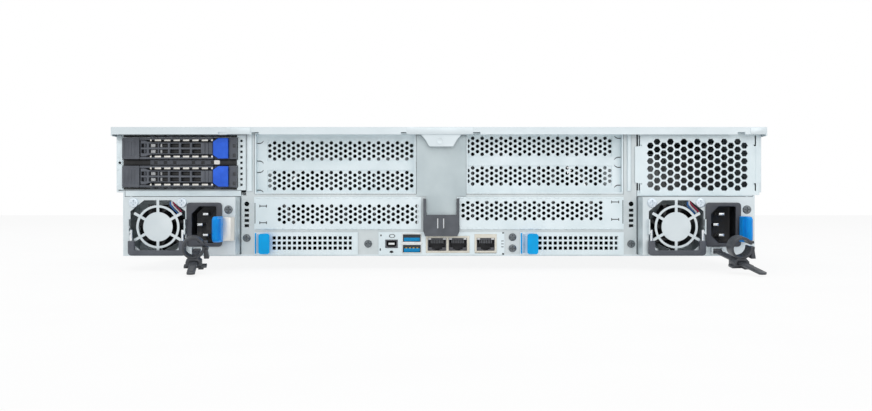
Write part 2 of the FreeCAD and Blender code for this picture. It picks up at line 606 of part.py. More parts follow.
def make_card_tab(side, place):
    """A moulded pull: a grip plate on a stem."""
    body = new_body("card_tab_" + side, (place, "rear - fit - card_sheet", "card_bay_low"))
    middle = "card_tab_start + card_tab_wide / 2"
    stem = new_sketch(body, "TabStem" + side, "XZ_Plane")
    low = "(card_bay_tall - card_tab_tall) / 2"
    add_box(stem, "%s - card_tab_stem / 2" % middle, low, "card_tab_stem", "card_tab_tall")
    pad(body, stem, "card_tab_out - card_tab_thick", towards_plus=False)
    grip = new_sketch(body, "TabGrip" + side, "XZ_Plane", "card_tab_thick - card_tab_out")
    corners = [("card_tab_wide / 2", "card_tab_tall - card_tab_round"),
               ("card_tab_wide / 2 - card_tab_round", "card_tab_tall")]
    corners = [(x, "card_tab_tall - (%s)" % z) for x, z in reversed(corners)] + corners
    add_outline(grip, [("%s + %s" % (middle, x), "%s + %s" % (low, z))
                       for x, z in mirrored(corners)])
    pad(body, grip, "card_tab_thick", towards_plus=False)
    return body


# ---- input and output panel ----

def make_io_panel():
    """A bare plate with a cut-out round each socket."""
    body = new_body("io_panel")
    plate = new_sketch(body, "IoPlate", "XZ_Plane", "rear - io_sheet")
    add_box(plate, "io_start", "io_low", "io_long", "io_tall")
    pad(body, plate, "io_sheet")
    cutouts = new_sketch(body, "IoCutouts", "XZ_Plane", "rear - io_sheet")
    for kind, low in (("display", "display_low"), ("usb", "usb_low"), ("lan_pair", "lan_low"),
                      ("lan_single", "lan_low")):
        add_box(cutouts, "%s_place - %s_wide / 2 - pin_fit" % (kind, kind), "%s - pin_fit" % low,
                "%s_wide + 2 * pin_fit" % kind, "%s_tall + 2 * pin_fit" % kind)
    pocket(body, cutouts, "io_sheet")
    return body


def make_socket(label, low, mouths, tongue=None):
    """A metal shell with mouths, each a place across, a place up, a width, a height and a depth."""
    body = new_body(label)
    kind = label.replace("_socket", "")
    shell = new_sketch(body, label + "Shell", "XZ_Plane", "rear - io_sheet - socket_out")
    add_box(shell, "%s_place - %s_wide / 2" % (kind, kind), low, kind + "_wide", kind + "_tall")
    pad(body, shell, "socket_depth + io_sheet + socket_out")
    mouth = new_sketch(body, label + "Mouth", "XZ_Plane", "rear - io_sheet - socket_out")
    for x, z, wide, tall in mouths:
        add_box(mouth, x, z, wide, tall)
    pocket(body, mouth, "lan_mouth_deep")
    if tongue:
        blade = new_sketch(body, label + "Tongue", "XZ_Plane", "rear - io_sheet")
        for x, z, wide, tall in mouths:
            add_box(blade, "%s + (%s) / 6" % (x, wide), "%s + (%s) * %s" % (z, tall, tongue[0]),
                    "(%s) * 2 / 3" % wide, "(%s) * %s" % (tall, tongue[1]))
        pad(body, blade, "lan_mouth_deep")
    return body


def make_display_socket():
    mouth = ("display_place - display_wide / 2 + socket_wall", "display_low + socket_wall",
             "display_wide - 2 * socket_wall", "display_tall - 2 * socket_wall")
    return make_socket("display_socket", "display_low", [mouth], (0.4, 0.25))


def make_usb_sockets():
    mouths = []
    for z in ("usb_low + socket_wall", "usb_low + usb_tall - socket_wall - usb_mouth"):
        mouths.append(("usb_place - usb_wide / 2 + socket_wall", z,
                       "usb_wide - 2 * socket_wall", "usb_mouth"))
    body = make_socket("usb_socket", "usb_low", mouths, (0.5, 0.36))
    return gather("usb_sockets", [(body, ("0", "0", "0"))])


def make_lan_sockets():
    mouth_low = "lan_low + lan_mouth_low"
    pair = make_socket("lan_pair_socket", "lan_low", [
        ("lan_pair_place %s lan_pair_wide / 4 - lan_mouth_wide / 2" % side, mouth_low,
         "lan_mouth_wide", "lan_mouth_tall") for side in ("-", "+")])
    single = make_socket("lan_single_socket", "lan_low", [
        ("lan_single_place - lan_mouth_wide / 2", mouth_low, "lan_mouth_wide", "lan_mouth_tall")])
    here = ("0", "0", "0")
    return gather("lan_sockets", [(pair, here), (single, here)])


# ---- bracket over the middle, vent panel and rear drive cage ----

def make_center_bracket():
    body = new_body("center_bracket")
    plate = new_sketch(body, "BracketPlate", "XZ_Plane", "rear - bracket_sheet")
    points = []
    for side, half in (("-", "bracket_wide"), ("-", "bracket_neck_wide"),
                       ("+", "bracket_neck_wide"), ("+", "bracket_wide")):
        ends = ["bracket_high", "bracket_low"] if half == "bracket_wide" else \
            ["bracket_low", "bracket_neck_low"]
        if side == "+":
            ends.reverse()
        points += [("bracket_place %s %s / 2" % (side, half), z) for z in ends]
    add_outline(plate, points)
    pad(body, plate, "bracket_sheet")
    return body


def make_bracket_foot():
    """A moulded fork on the lower end of the bracket, narrower at its foot."""
    body = new_body("bracket_foot", ("bracket_place", "rear - bracket_sheet", "0"))
    fork = new_sketch(body, "FootFork", "XZ_Plane")
    add_outline(fork, mirrored([
        ("foot_wide / 2 - foot_arm", "foot_floor"), ("foot_wide / 2 - foot_arm", "foot_high"),
        ("foot_wide / 2", "foot_high"), ("foot_wide / 2", "foot_low + foot_taper"),
        ("foot_wide / 2 - foot_taper_in", "foot_low")]))
    pad(body, fork, "foot_thick", towards_plus=False)
    round_edges(body, "foot_arm / 2", lambda edge: runs_along(edge, "z")
                and edge.CenterOfMass.y < -number("foot_thick") / 2
                and abs(edge.CenterOfMass.x) > number("foot_wide / 2 - foot_arm / 2"))
    return body


def make_vent_panel():
    """The honeycomb vent: odd columns of hexagons, and even columns half a pitch lower."""
    body = new_body("vent_panel")
    wide = "upper - steel - fit - vent_edge"
    plate = new_sketch(body, "VentPlate", "XZ_Plane", "rear")
    add_box(plate, "vent_edge", "vent_low", wide, "vent_high - vent_low")
    pad(body, plate, "steel")
    step = "vent_pitch * cos(30)"
    for name, column, lift, columns, rows in (
            ("Odd", "0", "vent_pitch / 2", "ceil(vent_columns / 2)", "vent_rows"),
            ("Even", step, "0", "floor(vent_columns / 2)", "vent_rows")):
        hole = new_sketch(body, "VentHole" + name, "XZ_Plane", "rear")
        add_polygon(hole, "vent_edge + vent_start + %s" % column,
                    "vent_low + vent_row_low + %s" % lift, "vent_hole / 2 * cos(30)", 6)
        repeat(body, pocket(body, hole, "steel"), (columns, "2 * " + step), (rows, "vent_pitch"))
    side = new_sketch(body, "VentSide", "XZ_Plane", "rear + steel")
    for x in ("vent_edge + %s - steel" % wide, "vent_edge"):
        add_box(side, x, "vent_low", "steel", "vent_high - vent_low - wall_flange")
    pad(body, side, "vent_return")
    return body


def make_rear_drive_cage():
    """A sheet box with a bay for each drive tray, windows between them and a perforated flange."""
    body = new_body("rear_drive_cage")
    section = new_sketch(body, "CageSection", "XZ_Plane", "rear")
    add_box(section, "cage_left", "cage_low", "cage_right - cage_left", "cage_high - cage_low")
    for z in ("tray_low - fit", "tray_low + tray_pitch - fit"):
        add_box(section, "tray_left - fit", z, "tray_wide + 2 * fit", "tray_tall + 2 * fit")
    pad(body, section, "cage_depth")
    window = new_sketch(body, "CageWindow", "XZ_Plane", "rear")
    add_box(window, "tray_left + cage_window_start",
            "tray_low + (tray_pitch + tray_tall - cage_window_tall) / 2", "cage_window",
            "cage_window_tall")
    repeat(body, pocket(body, window, "cage_depth"), ("7", "cage_window_pitch"))
    strip = new_sketch(body, "CageStrip", "XZ_Plane", "rear")
    add_box(strip, "cage_right - cage_sheet", "cage_low", "cage_strip + cage_sheet",
            "cage_high - cage_low")
    pad(body, strip, "steel")
    hole = new_sketch(body, "StripHole", "XZ_Plane", "rear")
    add_box(hole, "cage_right + cage_strip / 2 - cage_strip_hole", "cage_strip_low",
            "cage_strip_hole", "cage_strip_hole")
    repeat(body, pocket(body, hole, "steel"), up=("9", "cage_strip_pitch"))
    return body


# ---- rear drive trays ----

def make_rear_tray(number_):
    """A carrier with a grip block, two rims, side rails and the drive between them."""
    label = "rear_tray_%d" % number_
    body = new_body("carrier_%d" % number_)
    blocks = new_sketch(body, "TrayBlocks%d" % number_, "XZ_Plane")
    add_outline(blocks, [
        ("grip_cut", "0"), ("grip_wide", "0"), ("grip_wide", "tray_tall"),
        ("grip_cut", "tray_tall"), ("0", "tray_tall - grip_cut"), ("0", "grip_cut")])
    pad(body, blocks, "grip_deep")
    end = new_sketch(body, "TrayEnd%d" % number_, "XZ_Plane", "lever_deep")
    for z in ("0", "tray_tall - tray_rim"):
        add_box(end, "grip_cut", z, "tray_wide - grip_cut", "tray_rim")
    pad(body, end, "tray_rim_back - lever_deep")
    wall = new_sketch(body, "TrayWall%d" % number_, "XZ_Plane", "tray_rim_back - tray_front_wall")
    add_box(wall, "grip_cut", "0", "tray_wide - grip_cut", "tray_tall")
    pad(body, wall, "tray_front_wall")
    rims = new_sketch(body, "TrayRims%d" % number_, "XZ_Plane", "lever_set_back")
    for z in ("0", "tray_tall - tray_rim"):
        add_box(rims, "grip_cut", z, "button_start - fit - grip_cut", "tray_rim")
    pad(body, rims, "tray_rim_back - lever_set_back")
    block = new_sketch(body, "TrayEndBlock%d" % number_, "XZ_Plane")
    add_box(block, "tray_wide - tray_end_wide", "0", "tray_end_wide", "tray_tall")
    pad(body, block, "tray_end_deep")
    rails = new_sketch(body, "TrayRails%d" % number_, "XZ_Plane", "tray_rim_back")
    for x in ("0", "tray_wide - tray_rail"):
        add_box(rails, x, "tray_rim", "tray_rail", "drive_tall")
    pad(body, rails, "tray_long - tray_rim_back")
    bore = new_sketch(body, "TrayBore%d" % number_, "XY_Plane")
    add_polygon(bore, "lever_pivot", "lever_axis_y", "lever_pin + pin_fit", 8)
    pocket(body, bore, "tray_tall")
    window = new_sketch(body, "TrayWindow%d" % number_, "XZ_Plane",
                        "tray_rim_back - tray_front_wall")
    add_box(window, "lever_window_start", "(tray_tall - lever_window_row - lever_window_tall) / 2",
            "lever_window", "lever_window_tall")
    repeat(body, pocket(body, window, "tray_front_wall"), ("4", "lever_window_pitch"),
           ("2", "lever_window_row"))
    round_edges(body, "lever_flare / 2", lambda edge: runs_along(edge, "z")
                and edge.CenterOfMass.x < 0.01 and edge.CenterOfMass.y < 0.01)
    drive = new_body("drive_%d" % number_)
    case = new_sketch(drive, "DriveCase%d" % number_, "XZ_Plane", "grip_deep + fit")
    add_box(case, "tray_rail + fit", "(tray_tall - drive_tall) / 2",
            "tray_wide - 2 * tray_rail - 2 * fit", "drive_tall")
    pad(drive, case, "drive_long")
    here = ("0", "0", "0")
    return gather(label, [(body, here), (drive, here)], tray_place(number_))


def tray_place(number_):
    return ("tray_left", "tray_face", "tray_low + %d * tray_pitch" % (number_ - 1))


def make_rear_lever(number_):
    """A barred lever that swings out about an upright pin next to the grip block."""
    body = new_body("rear_lever_%d" % number_, tray_place(number_))
    bar = new_sketch(body, "LeverBar%d" % number_, "XZ_Plane", "lever_set_back")
    tall = "tray_tall / 2 - tray_rim - fit"
    upper = [("lever_pivot", "tray_tall / 2 + (%s)" % tall),
             ("lever_pivot + lever_flare", "tray_tall / 2 + (%s)" % tall),
             ("lever_pivot + 2 * lever_flare", "(tray_tall + lever_tall) / 2"),
             ("lever_end", "(tray_tall + lever_tall) / 2")]
    lower = [(x, "tray_tall - (%s)" % z) for x, z in reversed(upper)]
    add_outline(bar, upper + lower)
    pad(body, bar, "lever_deep")
    knuckle = new_sketch(body, "LeverKnuckle%d" % number_, "XY_Plane", "tray_rim + fit")
    add_polygon(knuckle, "lever_pivot", "lever_axis_y", "lever_deep / 2", 8)
    pad(body, knuckle, "tray_tall - 2 * tray_rim - 2 * fit")
    pin = new_sketch(body, "LeverPin%d" % number_, "XY_Plane", "tray_rim / 2")
    add_polygon(pin, "lever_pivot", "lever_axis_y", "lever_pin * cos(15)", 12)
    pad(body, pin, "tray_tall - tray_rim")
    window = new_sketch(body, "LeverWindow%d" % number_, "XZ_Plane", "lever_set_back")
    add_box(window, "lever_window_start", "(tray_tall - lever_window_row - lever_window_tall) / 2",
            "lever_window", "lever_window_tall")
    repeat(body, pocket(body, window, "lever_deep"), ("4", "lever_window_pitch"),
           ("2", "lever_window_row"))
    return body


def make_rear_button(number_):
    """A push catch with a narrow nose that widens to the full height of the tray."""
    body = new_body("rear_button_%d" % number_, tray_place(number_))
    cap = new_sketch(body, "ButtonCap%d" % number_, "XZ_Plane", "-button_out")
    low, high = "fit", "tray_tall - fit"
    add_outline(cap, [
        ("button_start", "(tray_tall - button_nose) / 2"),
        ("button_start + button_flare", low), ("button_start + button_long", low),
        ("button_start + button_long", high), ("button_start + button_flare", high),
        ("button_start", "(tray_tall + button_nose) / 2")])
    pad(body, cap, "button_cap")
    stem = new_sketch(body, "ButtonStem%d" % number_, "XZ_Plane", "button_cap - button_out")
    add_box(stem, "button_start + 2 * fit", "tray_rim + fit", "button_long - 4 * fit",
            "tray_tall - 2 * tray_rim - 2 * fit")
    pad(body, stem, "button_stem")
    return body


# ---- fans ----

def make_rotor(label, hub, tip, deep, blades, place):
    """A many-sided hub with slanted blades about an axis along y."""
    hub_radius, thick, count = number(hub), number(deep), int(number(blades))
    rim = []
    for corner in range(2 * count):
        angle = math.pi / count * (corner + 0.5)
        rim.append(FreeCAD.Vector(hub_radius * math.cos(angle), 0, hub_radius * math.sin(angle)))
    shape = Part.Face(Part.makePolygon(rim + rim[:1])).extrude(FreeCAD.Vector(0, thick, 0))
    blade = rotor_blade(hub_radius, number(tip), thick)
    for index in range(count):
        turned = blade.copy()
        turned.rotate(FreeCAD.Vector(0, 0, 0), FreeCAD.Vector(0, 1, 0), 360 / count * index)
        shape = shape.fuse(turned)
    rotor = doc.addObject("Part::Feature", label)
    rotor.Label = label
    rotor.Shape = shape.removeSplitter()
    move(rotor, place)
    return rotor


def rotor_blade(hub_radius, tip_radius, deep):
    """A flat blade that slants across the hub, from inside the hub to the tip radius."""
    half = 0.42 * deep
    reach = half / math.tan(math.radians(42))
    thick = 0.9
    root = math.sqrt((0.97 * hub_radius) ** 2 - (reach + thick) ** 2) - 1
    end = math.sqrt(tip_radius ** 2 - (reach + thick) ** 2)
    corners = [(-reach - thick, deep / 2 - half), (-reach + thick, deep / 2 - half),
               (reach + thick, deep / 2 + half), (reach - thick, deep / 2 + half)]
    points = [FreeCAD.Vector(x, y, root) for x, y in corners]
    section = Part.Face(Part.makePolygon(points + points[:1]))
    return section.extrude(FreeCAD.Vector(0, 0, end - root))


def make_fan_cage():
    """One frame for all the fans: a bore each, and a motor plate on struts at its rear side."""
    body = new_body("fan_cage", ("0", "fan_rear", "0"))
    half = "fan_count * fan_pitch / 2"
    block = new_sketch(body, "FanBlock", "XZ_Plane")
    add_box(block, "-1 * %s - fan_edge" % half, "steel", "2 * %s + 2 * fan_edge" % half, "fan_tall")
    pad(body, block, "fan_deep")
    bore = new_sketch(body, "FanBore", "XZ_Plane")
    add_circle(bore, "-1 * %s + fan_pitch / 2" % half, "fan_middle", "fan_bore")
    repeat(body, pocket(body, bore, "fan_deep"), ("fan_count", "fan_pitch"))
    for name, wide, tall in (("Across", "2 * fan_bore + 1", "fan_strut"),
                             ("Up", "fan_strut", "2 * fan_bore + 1")):
        strut = new_sketch(body, "FanStrut" + name, "XZ_Plane")
        add_box(strut, "-1 * %s + (fan_pitch - (%s)) / 2" % (half, wide),
                "fan_middle - (%s) / 2" % tall, wide, tall)
        repeat(body, pad(body, strut, "fan_motor_deep"), ("fan_count", "fan_pitch"))
    motor = new_sketch(body, "FanMotor", "XZ_Plane")
    add_polygon(motor, "-1 * %s + fan_pitch / 2" % half, "fan_middle", "fan_hub - 1", 8)
    repeat(body, pad(body, motor, "fan_motor_deep"), ("fan_count", "fan_pitch"))
    return body


def make_fan_rotor(index):
    place = ("(%d - (fan_count - 1) / 2) * fan_pitch" % index,
             "fan_rear + fan_motor_deep + fit", "fan_middle")
    return make_rotor("fan_rotor_%d" % (index + 1), "fan_hub", "fan_rotor", "fan_rotor_deep",
                      "fan_blades", place)


# ---- power supplies ----

def psu_place(side):
    sign = "-1 * " if side == "left" else ""
    return ("%spsu_place - psu_wide / 2" % sign, "psu_face", "psu_low")


def make_psu_case(side):
    """The supply's sheet case: its face holds the fan guard, ears, strap anchor and inlet hole."""
    body = new_body("psu_case_" + side, psu_place(side))
    shell = new_sketch(body, "PsuShell" + side, "XZ_Plane")
    add_box(shell, "0", "0", "psu_wide", "psu_tall")
    pad(body, shell, "psu_long")
    room = new_sketch(body, "FanRoom" + side, "XZ_Plane", "psu_sheet")
    add_box(room, "psu_sheet", "psu_sheet", "psu_fan_room_wide", "psu_tall - 2 * psu_sheet")
    pocket(body, room, "psu_fan_room")
    hub = ("psu_fan_place", "psu_fan_height")
    opening = new_sketch(body, "GuardOpening" + side, "XZ_Plane", "0", hub)
    corner = [("guard_half_wide", "guard_flat_tall"), ("guard_flat_wide", "guard_half_tall")]
    lower_half = [(x, "-1 * " + z) for x, z in reversed(corner)]
    add_outline(opening, mirrored(lower_half + corner))
    pocket(body, opening, "psu_sheet")
    disc = new_sketch(body, "GuardHub" + side, "XZ_Plane", "0", hub)
    add_circle(disc, "0", "0", "guard_hub")
    pad(body, disc, "psu_sheet")
    ring = new_sketch(body, "GuardRing" + side, "XZ_Plane", "0", hub)
    add_circle(ring, "0", "0", "guard_ring")
    add_circle(ring, "0", "0", "guard_ring - guard_ring_wide")
    pad(body, ring, "psu_sheet")
    spoke = new_sketch(body, "GuardSpoke" + side, "XZ_Plane", "0", hub)
    add_box(spoke, "-guard_spoke / 2", "guard_hub - 1", "guard_spoke",
            "guard_half_tall - guard_hub + 1.5")
    arm = pad(body, spoke, "psu_sheet")
    wheel = body.newObject("PartDesign::PolarPattern", "GuardSpokes" + side)
    wheel.Originals = [arm]
    wheel.Axis = (spoke, ["N_Axis"])
    wheel.Angle = 360
    wheel.setExpression("Occurrences", formula("guard_spokes"))
    body.Tip = wheel
    slot = new_sketch(body, "InletHole" + side, "XZ_Plane")
    add_box(slot, "inlet_start + inlet_step - fit", "inlet_low + inlet_step - fit",
            "inlet_wide - 2 * inlet_step + 2 * fit", "inlet_tall - 2 * inlet_step + 2 * fit")
    pocket(body, slot, "inlet_body + fit")
    motor = new_sketch(body, "FanMotor" + side, "XZ_Plane", "psu_sheet + psu_fan_room", hub)
    add_polygon(motor, "0", "0", "psu_rotor_hub - 2", 6)
    pad(body, motor, "psu_fan_room - psu_rotor_gap - psu_rotor_deep - fit", towards_plus=False)
    add_handle_ears(body, side)
    add_strap_anchor(body, side)
    return body


def add_handle_ears(body, side):
    """An ear each side of the fan, with the handle's pin hole through both."""
    ears = new_sketch(body, "HandleEars" + side, "XZ_Plane", "0",
                      ("psu_fan_place", "psu_fan_height"))
    add_box(ears, "-1 * handle_rod_out - handle_rod - rod_gap - ear_thick", "-ear_tall / 2",
            "ear_thick", "ear_tall")
    add_box(ears, "handle_rod_out + handle_rod + rod_gap", "-ear_tall / 2", "ear_thick",
            "ear_tall")
    pad(body, ears, "ear_out", towards_plus=False)
    bore = new_sketch(body, "EarBore" + side, "YZ_Plane", "0", ("0", "psu_fan_height"))
    add_polygon(bore, "-handle_axis_out", "0", "handle_rod + pin_fit", 8)
    pocket(body, bore, "psu_fan_place + handle_wide")


def add_strap_anchor(body, side):
    """Two cheeks under the inlet that hold the cable strap's pin."""
    cheeks = new_sketch(body, "StrapCheeks" + side, "XZ_Plane", "0", ("strap_place", "0"))
    add_box(cheeks, "-1 * anchor_half - anchor_wall", "fit", "anchor_wall", "anchor_tall")
    add_box(cheeks, "anchor_half", "fit", "anchor_wall", "anchor_tall")
    pad(body, cheeks, "anchor_out", towards_plus=False)
    bore = new_sketch(body, "StrapBore" + side, "YZ_Plane",
                      "strap_place - anchor_half - anchor_wall")
    add_polygon(bore, "-strap_axis_out", "strap_height", "strap_pin + pin_fit", 8)
    pocket(body, bore, "2 * anchor_half + 2 * anchor_wall")


def make_psu_rotor(side):
    place = psu_place(side)
    spot = ("%s + psu_fan_place" % place[0], "%s + psu_sheet + psu_rotor_gap" % place[1],
            "%s + psu_fan_height" % place[2])
    return make_rotor("psu_rotor_" + side, "psu_rotor_hub", "psu_rotor", "psu_rotor_deep",
                      "psu_blades", spot)


def make_psu_handle(side):
    """A moulded U-shaped grip on two wire rods whose ends are turned out into the ears."""
    x, y, z = psu_place(side)
    body = new_body("psu_handle_" + side, ("%s + psu_fan_place" % x, "%s - handle_axis_out" % y, z))
    grip = new_sketch(body, "HandleGrip" + side, "XZ_Plane", "-handle_thick / 2")
    add_outline(grip, mirrored([
        ("handle_wide / 2 - handle_arm", "handle_low + handle_bar"),
        ("handle_wide / 2 - handle_arm", "handle_sleeve"),
        ("handle_wide / 2", "handle_sleeve"), ("handle_wide / 2", "handle_low + handle_cut"),
        ("handle_wide / 2 - handle_cut", "handle_low")]))
    pad(body, grip, "handle_thick")
    rods = new_sketch(body, "HandleRods" + side, "XY_Plane", "handle_sleeve - 1")
    for x in ("-1 * handle_rod_out", "handle_rod_out"):
        add_polygon(rods, x, "0", "handle_rod", 8)
    pad(body, rods, "psu_fan_height - handle_sleeve + 1")
    for name, start in (("Left", "-1 * handle_rod_out - handle_rod - rod_gap - ear_thick"),
                        ("Right", "handle_rod_out")):
        pin = new_sketch(body, "HandlePin" + name + side, "YZ_Plane", start)
        add_polygon(pin, "0", "psu_fan_height", "handle_rod * cos(15)", 12)
        pad(body, pin, "handle_rod + rod_gap + ear_thick")
    return body


def make_psu_inlet(side):
    """The power inlet: a bezel, a chamfered recess and three flat pins."""
    body = new_body("psu_inlet_" + side, psu_place(side))
    bezel = new_sketch(body, "InletBezel" + side, "XZ_Plane", "-inlet_out")
    add_box(bezel, "inlet_start", "inlet_low", "inlet_wide", "inlet_tall")
    pad(body, bezel, "inlet_out")
    block = new_sketch(body, "InletBlock" + side, "XZ_Plane")
    add_box(block, "inlet_start + inlet_step", "inlet_low + inlet_step",
            "inlet_wide - 2 * inlet_step", "inlet_tall - 2 * inlet_step")
    pad(body, block, "inlet_body")
    mouth = new_sketch(body, "InletMouth" + side, "XZ_Plane", "-inlet_out",
                       ("mouth_start", "mouth_low"))
    add_outline(mouth, [
        ("inlet_cut", "0"), ("inlet_mouth_wide", "0"), ("inlet_mouth_wide", "inlet_mouth_tall"),
        ("inlet_cut", "inlet_mouth_tall"), ("0", "inlet_mouth_tall - inlet_cut"),
        ("0", "inlet_cut")])
    pocket(body, mouth, "inlet_mouth_deep")
    pins = new_sketch(body, "InletPins" + side, "XZ_Plane", "inlet_mouth_deep - inlet_out",
                      ("mouth_start + inlet_mouth_wide / 2", "mouth_low + inlet_mouth_tall / 2"))
    for x, z in (("0", "pin_spread"), ("0", "-pin_spread"), ("-pin_offset", "0")):
        add_box(pins, "%s - pin_wide / 2" % x, "%s - pin_thick / 2" % z, "pin_wide", "pin_thick")
    pad(body, pins, "pin_out", towards_plus=False)
    return body


def make_psu_latch(side):
    """A leaf that leans in from the supply's edge and ends in a flat moulded grip."""
    body = new_body("psu_latch_" + side, psu_place(side))
    leaf = new_sketch(body, "LatchLeaf" + side, "XY_Plane", "spring_low")
    grip_end = "grip_place + grip_thick"
    add_outline(leaf, [
        ("spring_root", "-1 * fit"), ("grip_place + grip_thick / 2", "-spring_out"),
        ("grip_place", "-spring_out"), ("grip_place", "-grip_out + grip_thick / 3"),
        ("grip_place + grip_thick / 3", "-grip_out"), (grip_end + " - grip_thick / 3", "-grip_out"),
        (grip_end, "-grip_out + grip_thick / 3"),
        (grip_end, "-spring_out + spring_sheet"), ("spring_root + spring_sheet", "-1 * fit")])
    pad(body, leaf, "spring_tall")
    return body


def strap_pivot(side):
    x, y, z = psu_place(side)
    return ("%s + strap_place" % x, "%s - strap_axis_out" % y, "%s + strap_height" % z)


def make_psu_strap(side):
    """A flat strap on a barrel pin, drifting sideways and drooping as it leaves the supply."""
    body = new_body("psu_strap_" + side)
    blade = new_sketch(body, "StrapBlade" + side, "XY_Plane", "-strap_thick / 2")
    add_outline(blade, [
        ("-strap_wide / 2", "0"), ("strap_drift - strap_wide / 2", "strap_wide / 3 - strap_long"),
        ("strap_drift - strap_wide / 5", "-strap_long"),
        ("strap_drift + strap_wide / 5", "-strap_long"),
        ("strap_drift + strap_wide / 2", "strap_wide / 3 - strap_long"), ("strap_wide / 2", "0")])
    pad(body, blade, "strap_thick")
    barrel = new_sketch(body, "StrapBarrel" + side, "YZ_Plane", "-strap_wide / 2")
    add_polygon(barrel, "0", "0", "strap_barrel", 8)
    pad(body, barrel, "strap_wide")
    pin = new_sketch(body, "StrapPin" + side, "YZ_Plane", "-1 * anchor_half - anchor_wall")
    add_polygon(pin, "0", "0", "strap_pin * cos(15)", 12)
    pad(body, pin, "2 * anchor_half + 2 * anchor_wall")
    turn(body, strap_pivot(side), 0)
    return body


def turn(body, place, yaw):
    """Place a piece and tip it down by the strap's droop, after a turn about the upright axis."""
    body.Placement = FreeCAD.Placement(
        FreeCAD.Vector(0, 0, 0),
        FreeCAD.Rotation(FreeCAD.Vector(1, 0, 0), number("strap_droop"))
        * FreeCAD.Rotation(FreeCAD.Vector(0, 0, 1), yaw))
    move(body, place)


def make_psu_clamp(side):
    """A slider on the strap with a round loop for the power cord and a release tab."""
    body = new_body("psu_clamp_" + side)
    block = new_sketch(body, "ClampBlock" + side, "XZ_Plane", "-clamp_long / 2")
    add_box(block, "-clamp_block / 2", "-clamp_block_tall / 2", "clamp_block", "clamp_block_tall")
    pad(body, block, "clamp_long")
    centre = "clamp_block_tall / 2 + clamp_loop + clamp_band - clamp_sink"
    for name, radius, act in (("Band", "clamp_loop + clamp_band", pad),
                              ("Loop", "clamp_loop", pocket)):
        ring = new_sketch(body, "Clamp" + name + side, "XZ_Plane", "-clamp_long / 2")
        add_circle(ring, "0", centre, radius)
        act(body, ring, "clamp_long")
    tab = new_sketch(body, "ClampTab" + side, "XZ_Plane", "-clamp_long / 4")
    add_box(tab, "clamp_block / 2 - clamp_band", "-clamp_block_tall / 2",
            "clamp_tab + clamp_band", "clamp_band")
    add_box(tab, "clamp_loop + clamp_band / 2", "%s - clamp_band" % centre,
            "clamp_tab", "2 * clamp_band")
    pad(body, tab, "clamp_long / 2")
    slot = new_sketch(body, "ClampSlot" + side, "XZ_Plane", "-clamp_long / 2")
    add_box(slot, "-strap_wide / 2 - fit", "-strap_thick / 2 - fit", "strap_wide + 2 * fit",
            "strap_thick + 2 * fit")
    pocket(body, slot, "clamp_long")
    yaw = math.degrees(math.atan(number("strap_slope")))
    x, y, z = strap_pivot(side)
    turn(body, ("%s + clamp_place * strap_slope" % x,
                "%s - clamp_place * cos(strap_droop)" % y,
                "%s - clamp_place * sin(strap_droop)" % z), yaw)
    return body


def make_psu_tunnels():
    """The inverted channels that guide the power supplies, each with a rear lip above."""
    body = new_body("psu_tunnel", ("psu_place", "rear", "0"))
    inner = "psu_wide / 2 + tunnel_gap"
    under = "psu_low + psu_tall + tunnel_gap"
    channel = new_sketch(body, "Tunnel", "XZ_Plane", "steel")
    add_outline(channel, mirrored([
        (inner, under), (inner, "steel"), (inner + " + tunnel_sheet", "steel"),
        (inner + " + tunnel_sheet", under + " + tunnel_sheet")]))
    pad(body, channel, "tunnel_depth")
    lip = new_sketch(body, "TunnelLip", "XZ_Plane")
    add_box(lip, "post_edge + fit - psu_place", under, "lower - steel - 2 * fit - post_edge",
            "shelf_high - (%s)" % under)
    pad(body, lip, "2 * steel")
    here = ("0", "0", "0")
    return gather("psu_tunnels", [(body, here), (mirror_across(body, "psu_tunnel_mirror"), here)])


# ---- front cage, trays and rack ears ----

def make_front_cage():
    """A front plate with a row of tray bays under a louvred vent, a shelf and dividers."""
    body = new_body("front_cage", ("0", "front - front_wall", "0"))
    low_half, high_half = "lower - steel - fit", "upper - steel - fit"
    step = "shoulder + steel + fit"
    plate = new_sketch(body, "FrontPlate", "XZ_Plane")
    add_outline(plate, mirrored([(low_half, "steel"), (low_half, step), (high_half, step),
                                 (high_half, "wall_top - steel - fit")]))
    pad(body, plate, "front_wall")
    bay = new_sketch(body, "FrontBay", "XZ_Plane")
    add_box(bay, "front_tray_start - fit", "front_tray_low - fit", "front_tray_wide + 2 * fit",
            "front_tray_tall + 2 * fit")
    repeat(body, pocket(body, bay, "front_wall"), ("front_bays", "front_pitch"))
    louvre = new_sketch(body, "FrontLouvre", "XZ_Plane")
    add_box(louvre, "front_tray_start + (front_tray_wide - front_vent_long) / 2", "front_vent_low",
            "front_vent_long", "front_vent_tall")
    repeat(body, pocket(body, louvre, "front_wall"), ("front_bays", "front_pitch"),
           ("front_vent_rows", "front_vent_pitch"))
    shelf = new_sketch(body, "FrontShelf", "XZ_Plane")
    add_box(shelf, "-1 * (%s)" % low_half, "front_shelf", "2 * (%s)" % low_half, "front_divider")
    pad(body, shelf, "front_cage_depth", towards_plus=False)
    divider = new_sketch(body, "FrontDivider", "XZ_Plane")
    space = "front_pitch - front_tray_wide - front_divider"
    add_box(divider, "front_tray_start + front_tray_wide + (%s) / 2" % space, "steel",
            "front_divider", "front_shelf - steel")
    repeat(body, pad(body, divider, "front_cage_depth", towards_plus=False),
           ("front_bays - 1", "front_pitch"))
    return body


def front_tray_place(index):
    return ("front_tray_start + %d * front_pitch" % index, "front + front_tray_proud",
            "front_tray_low")


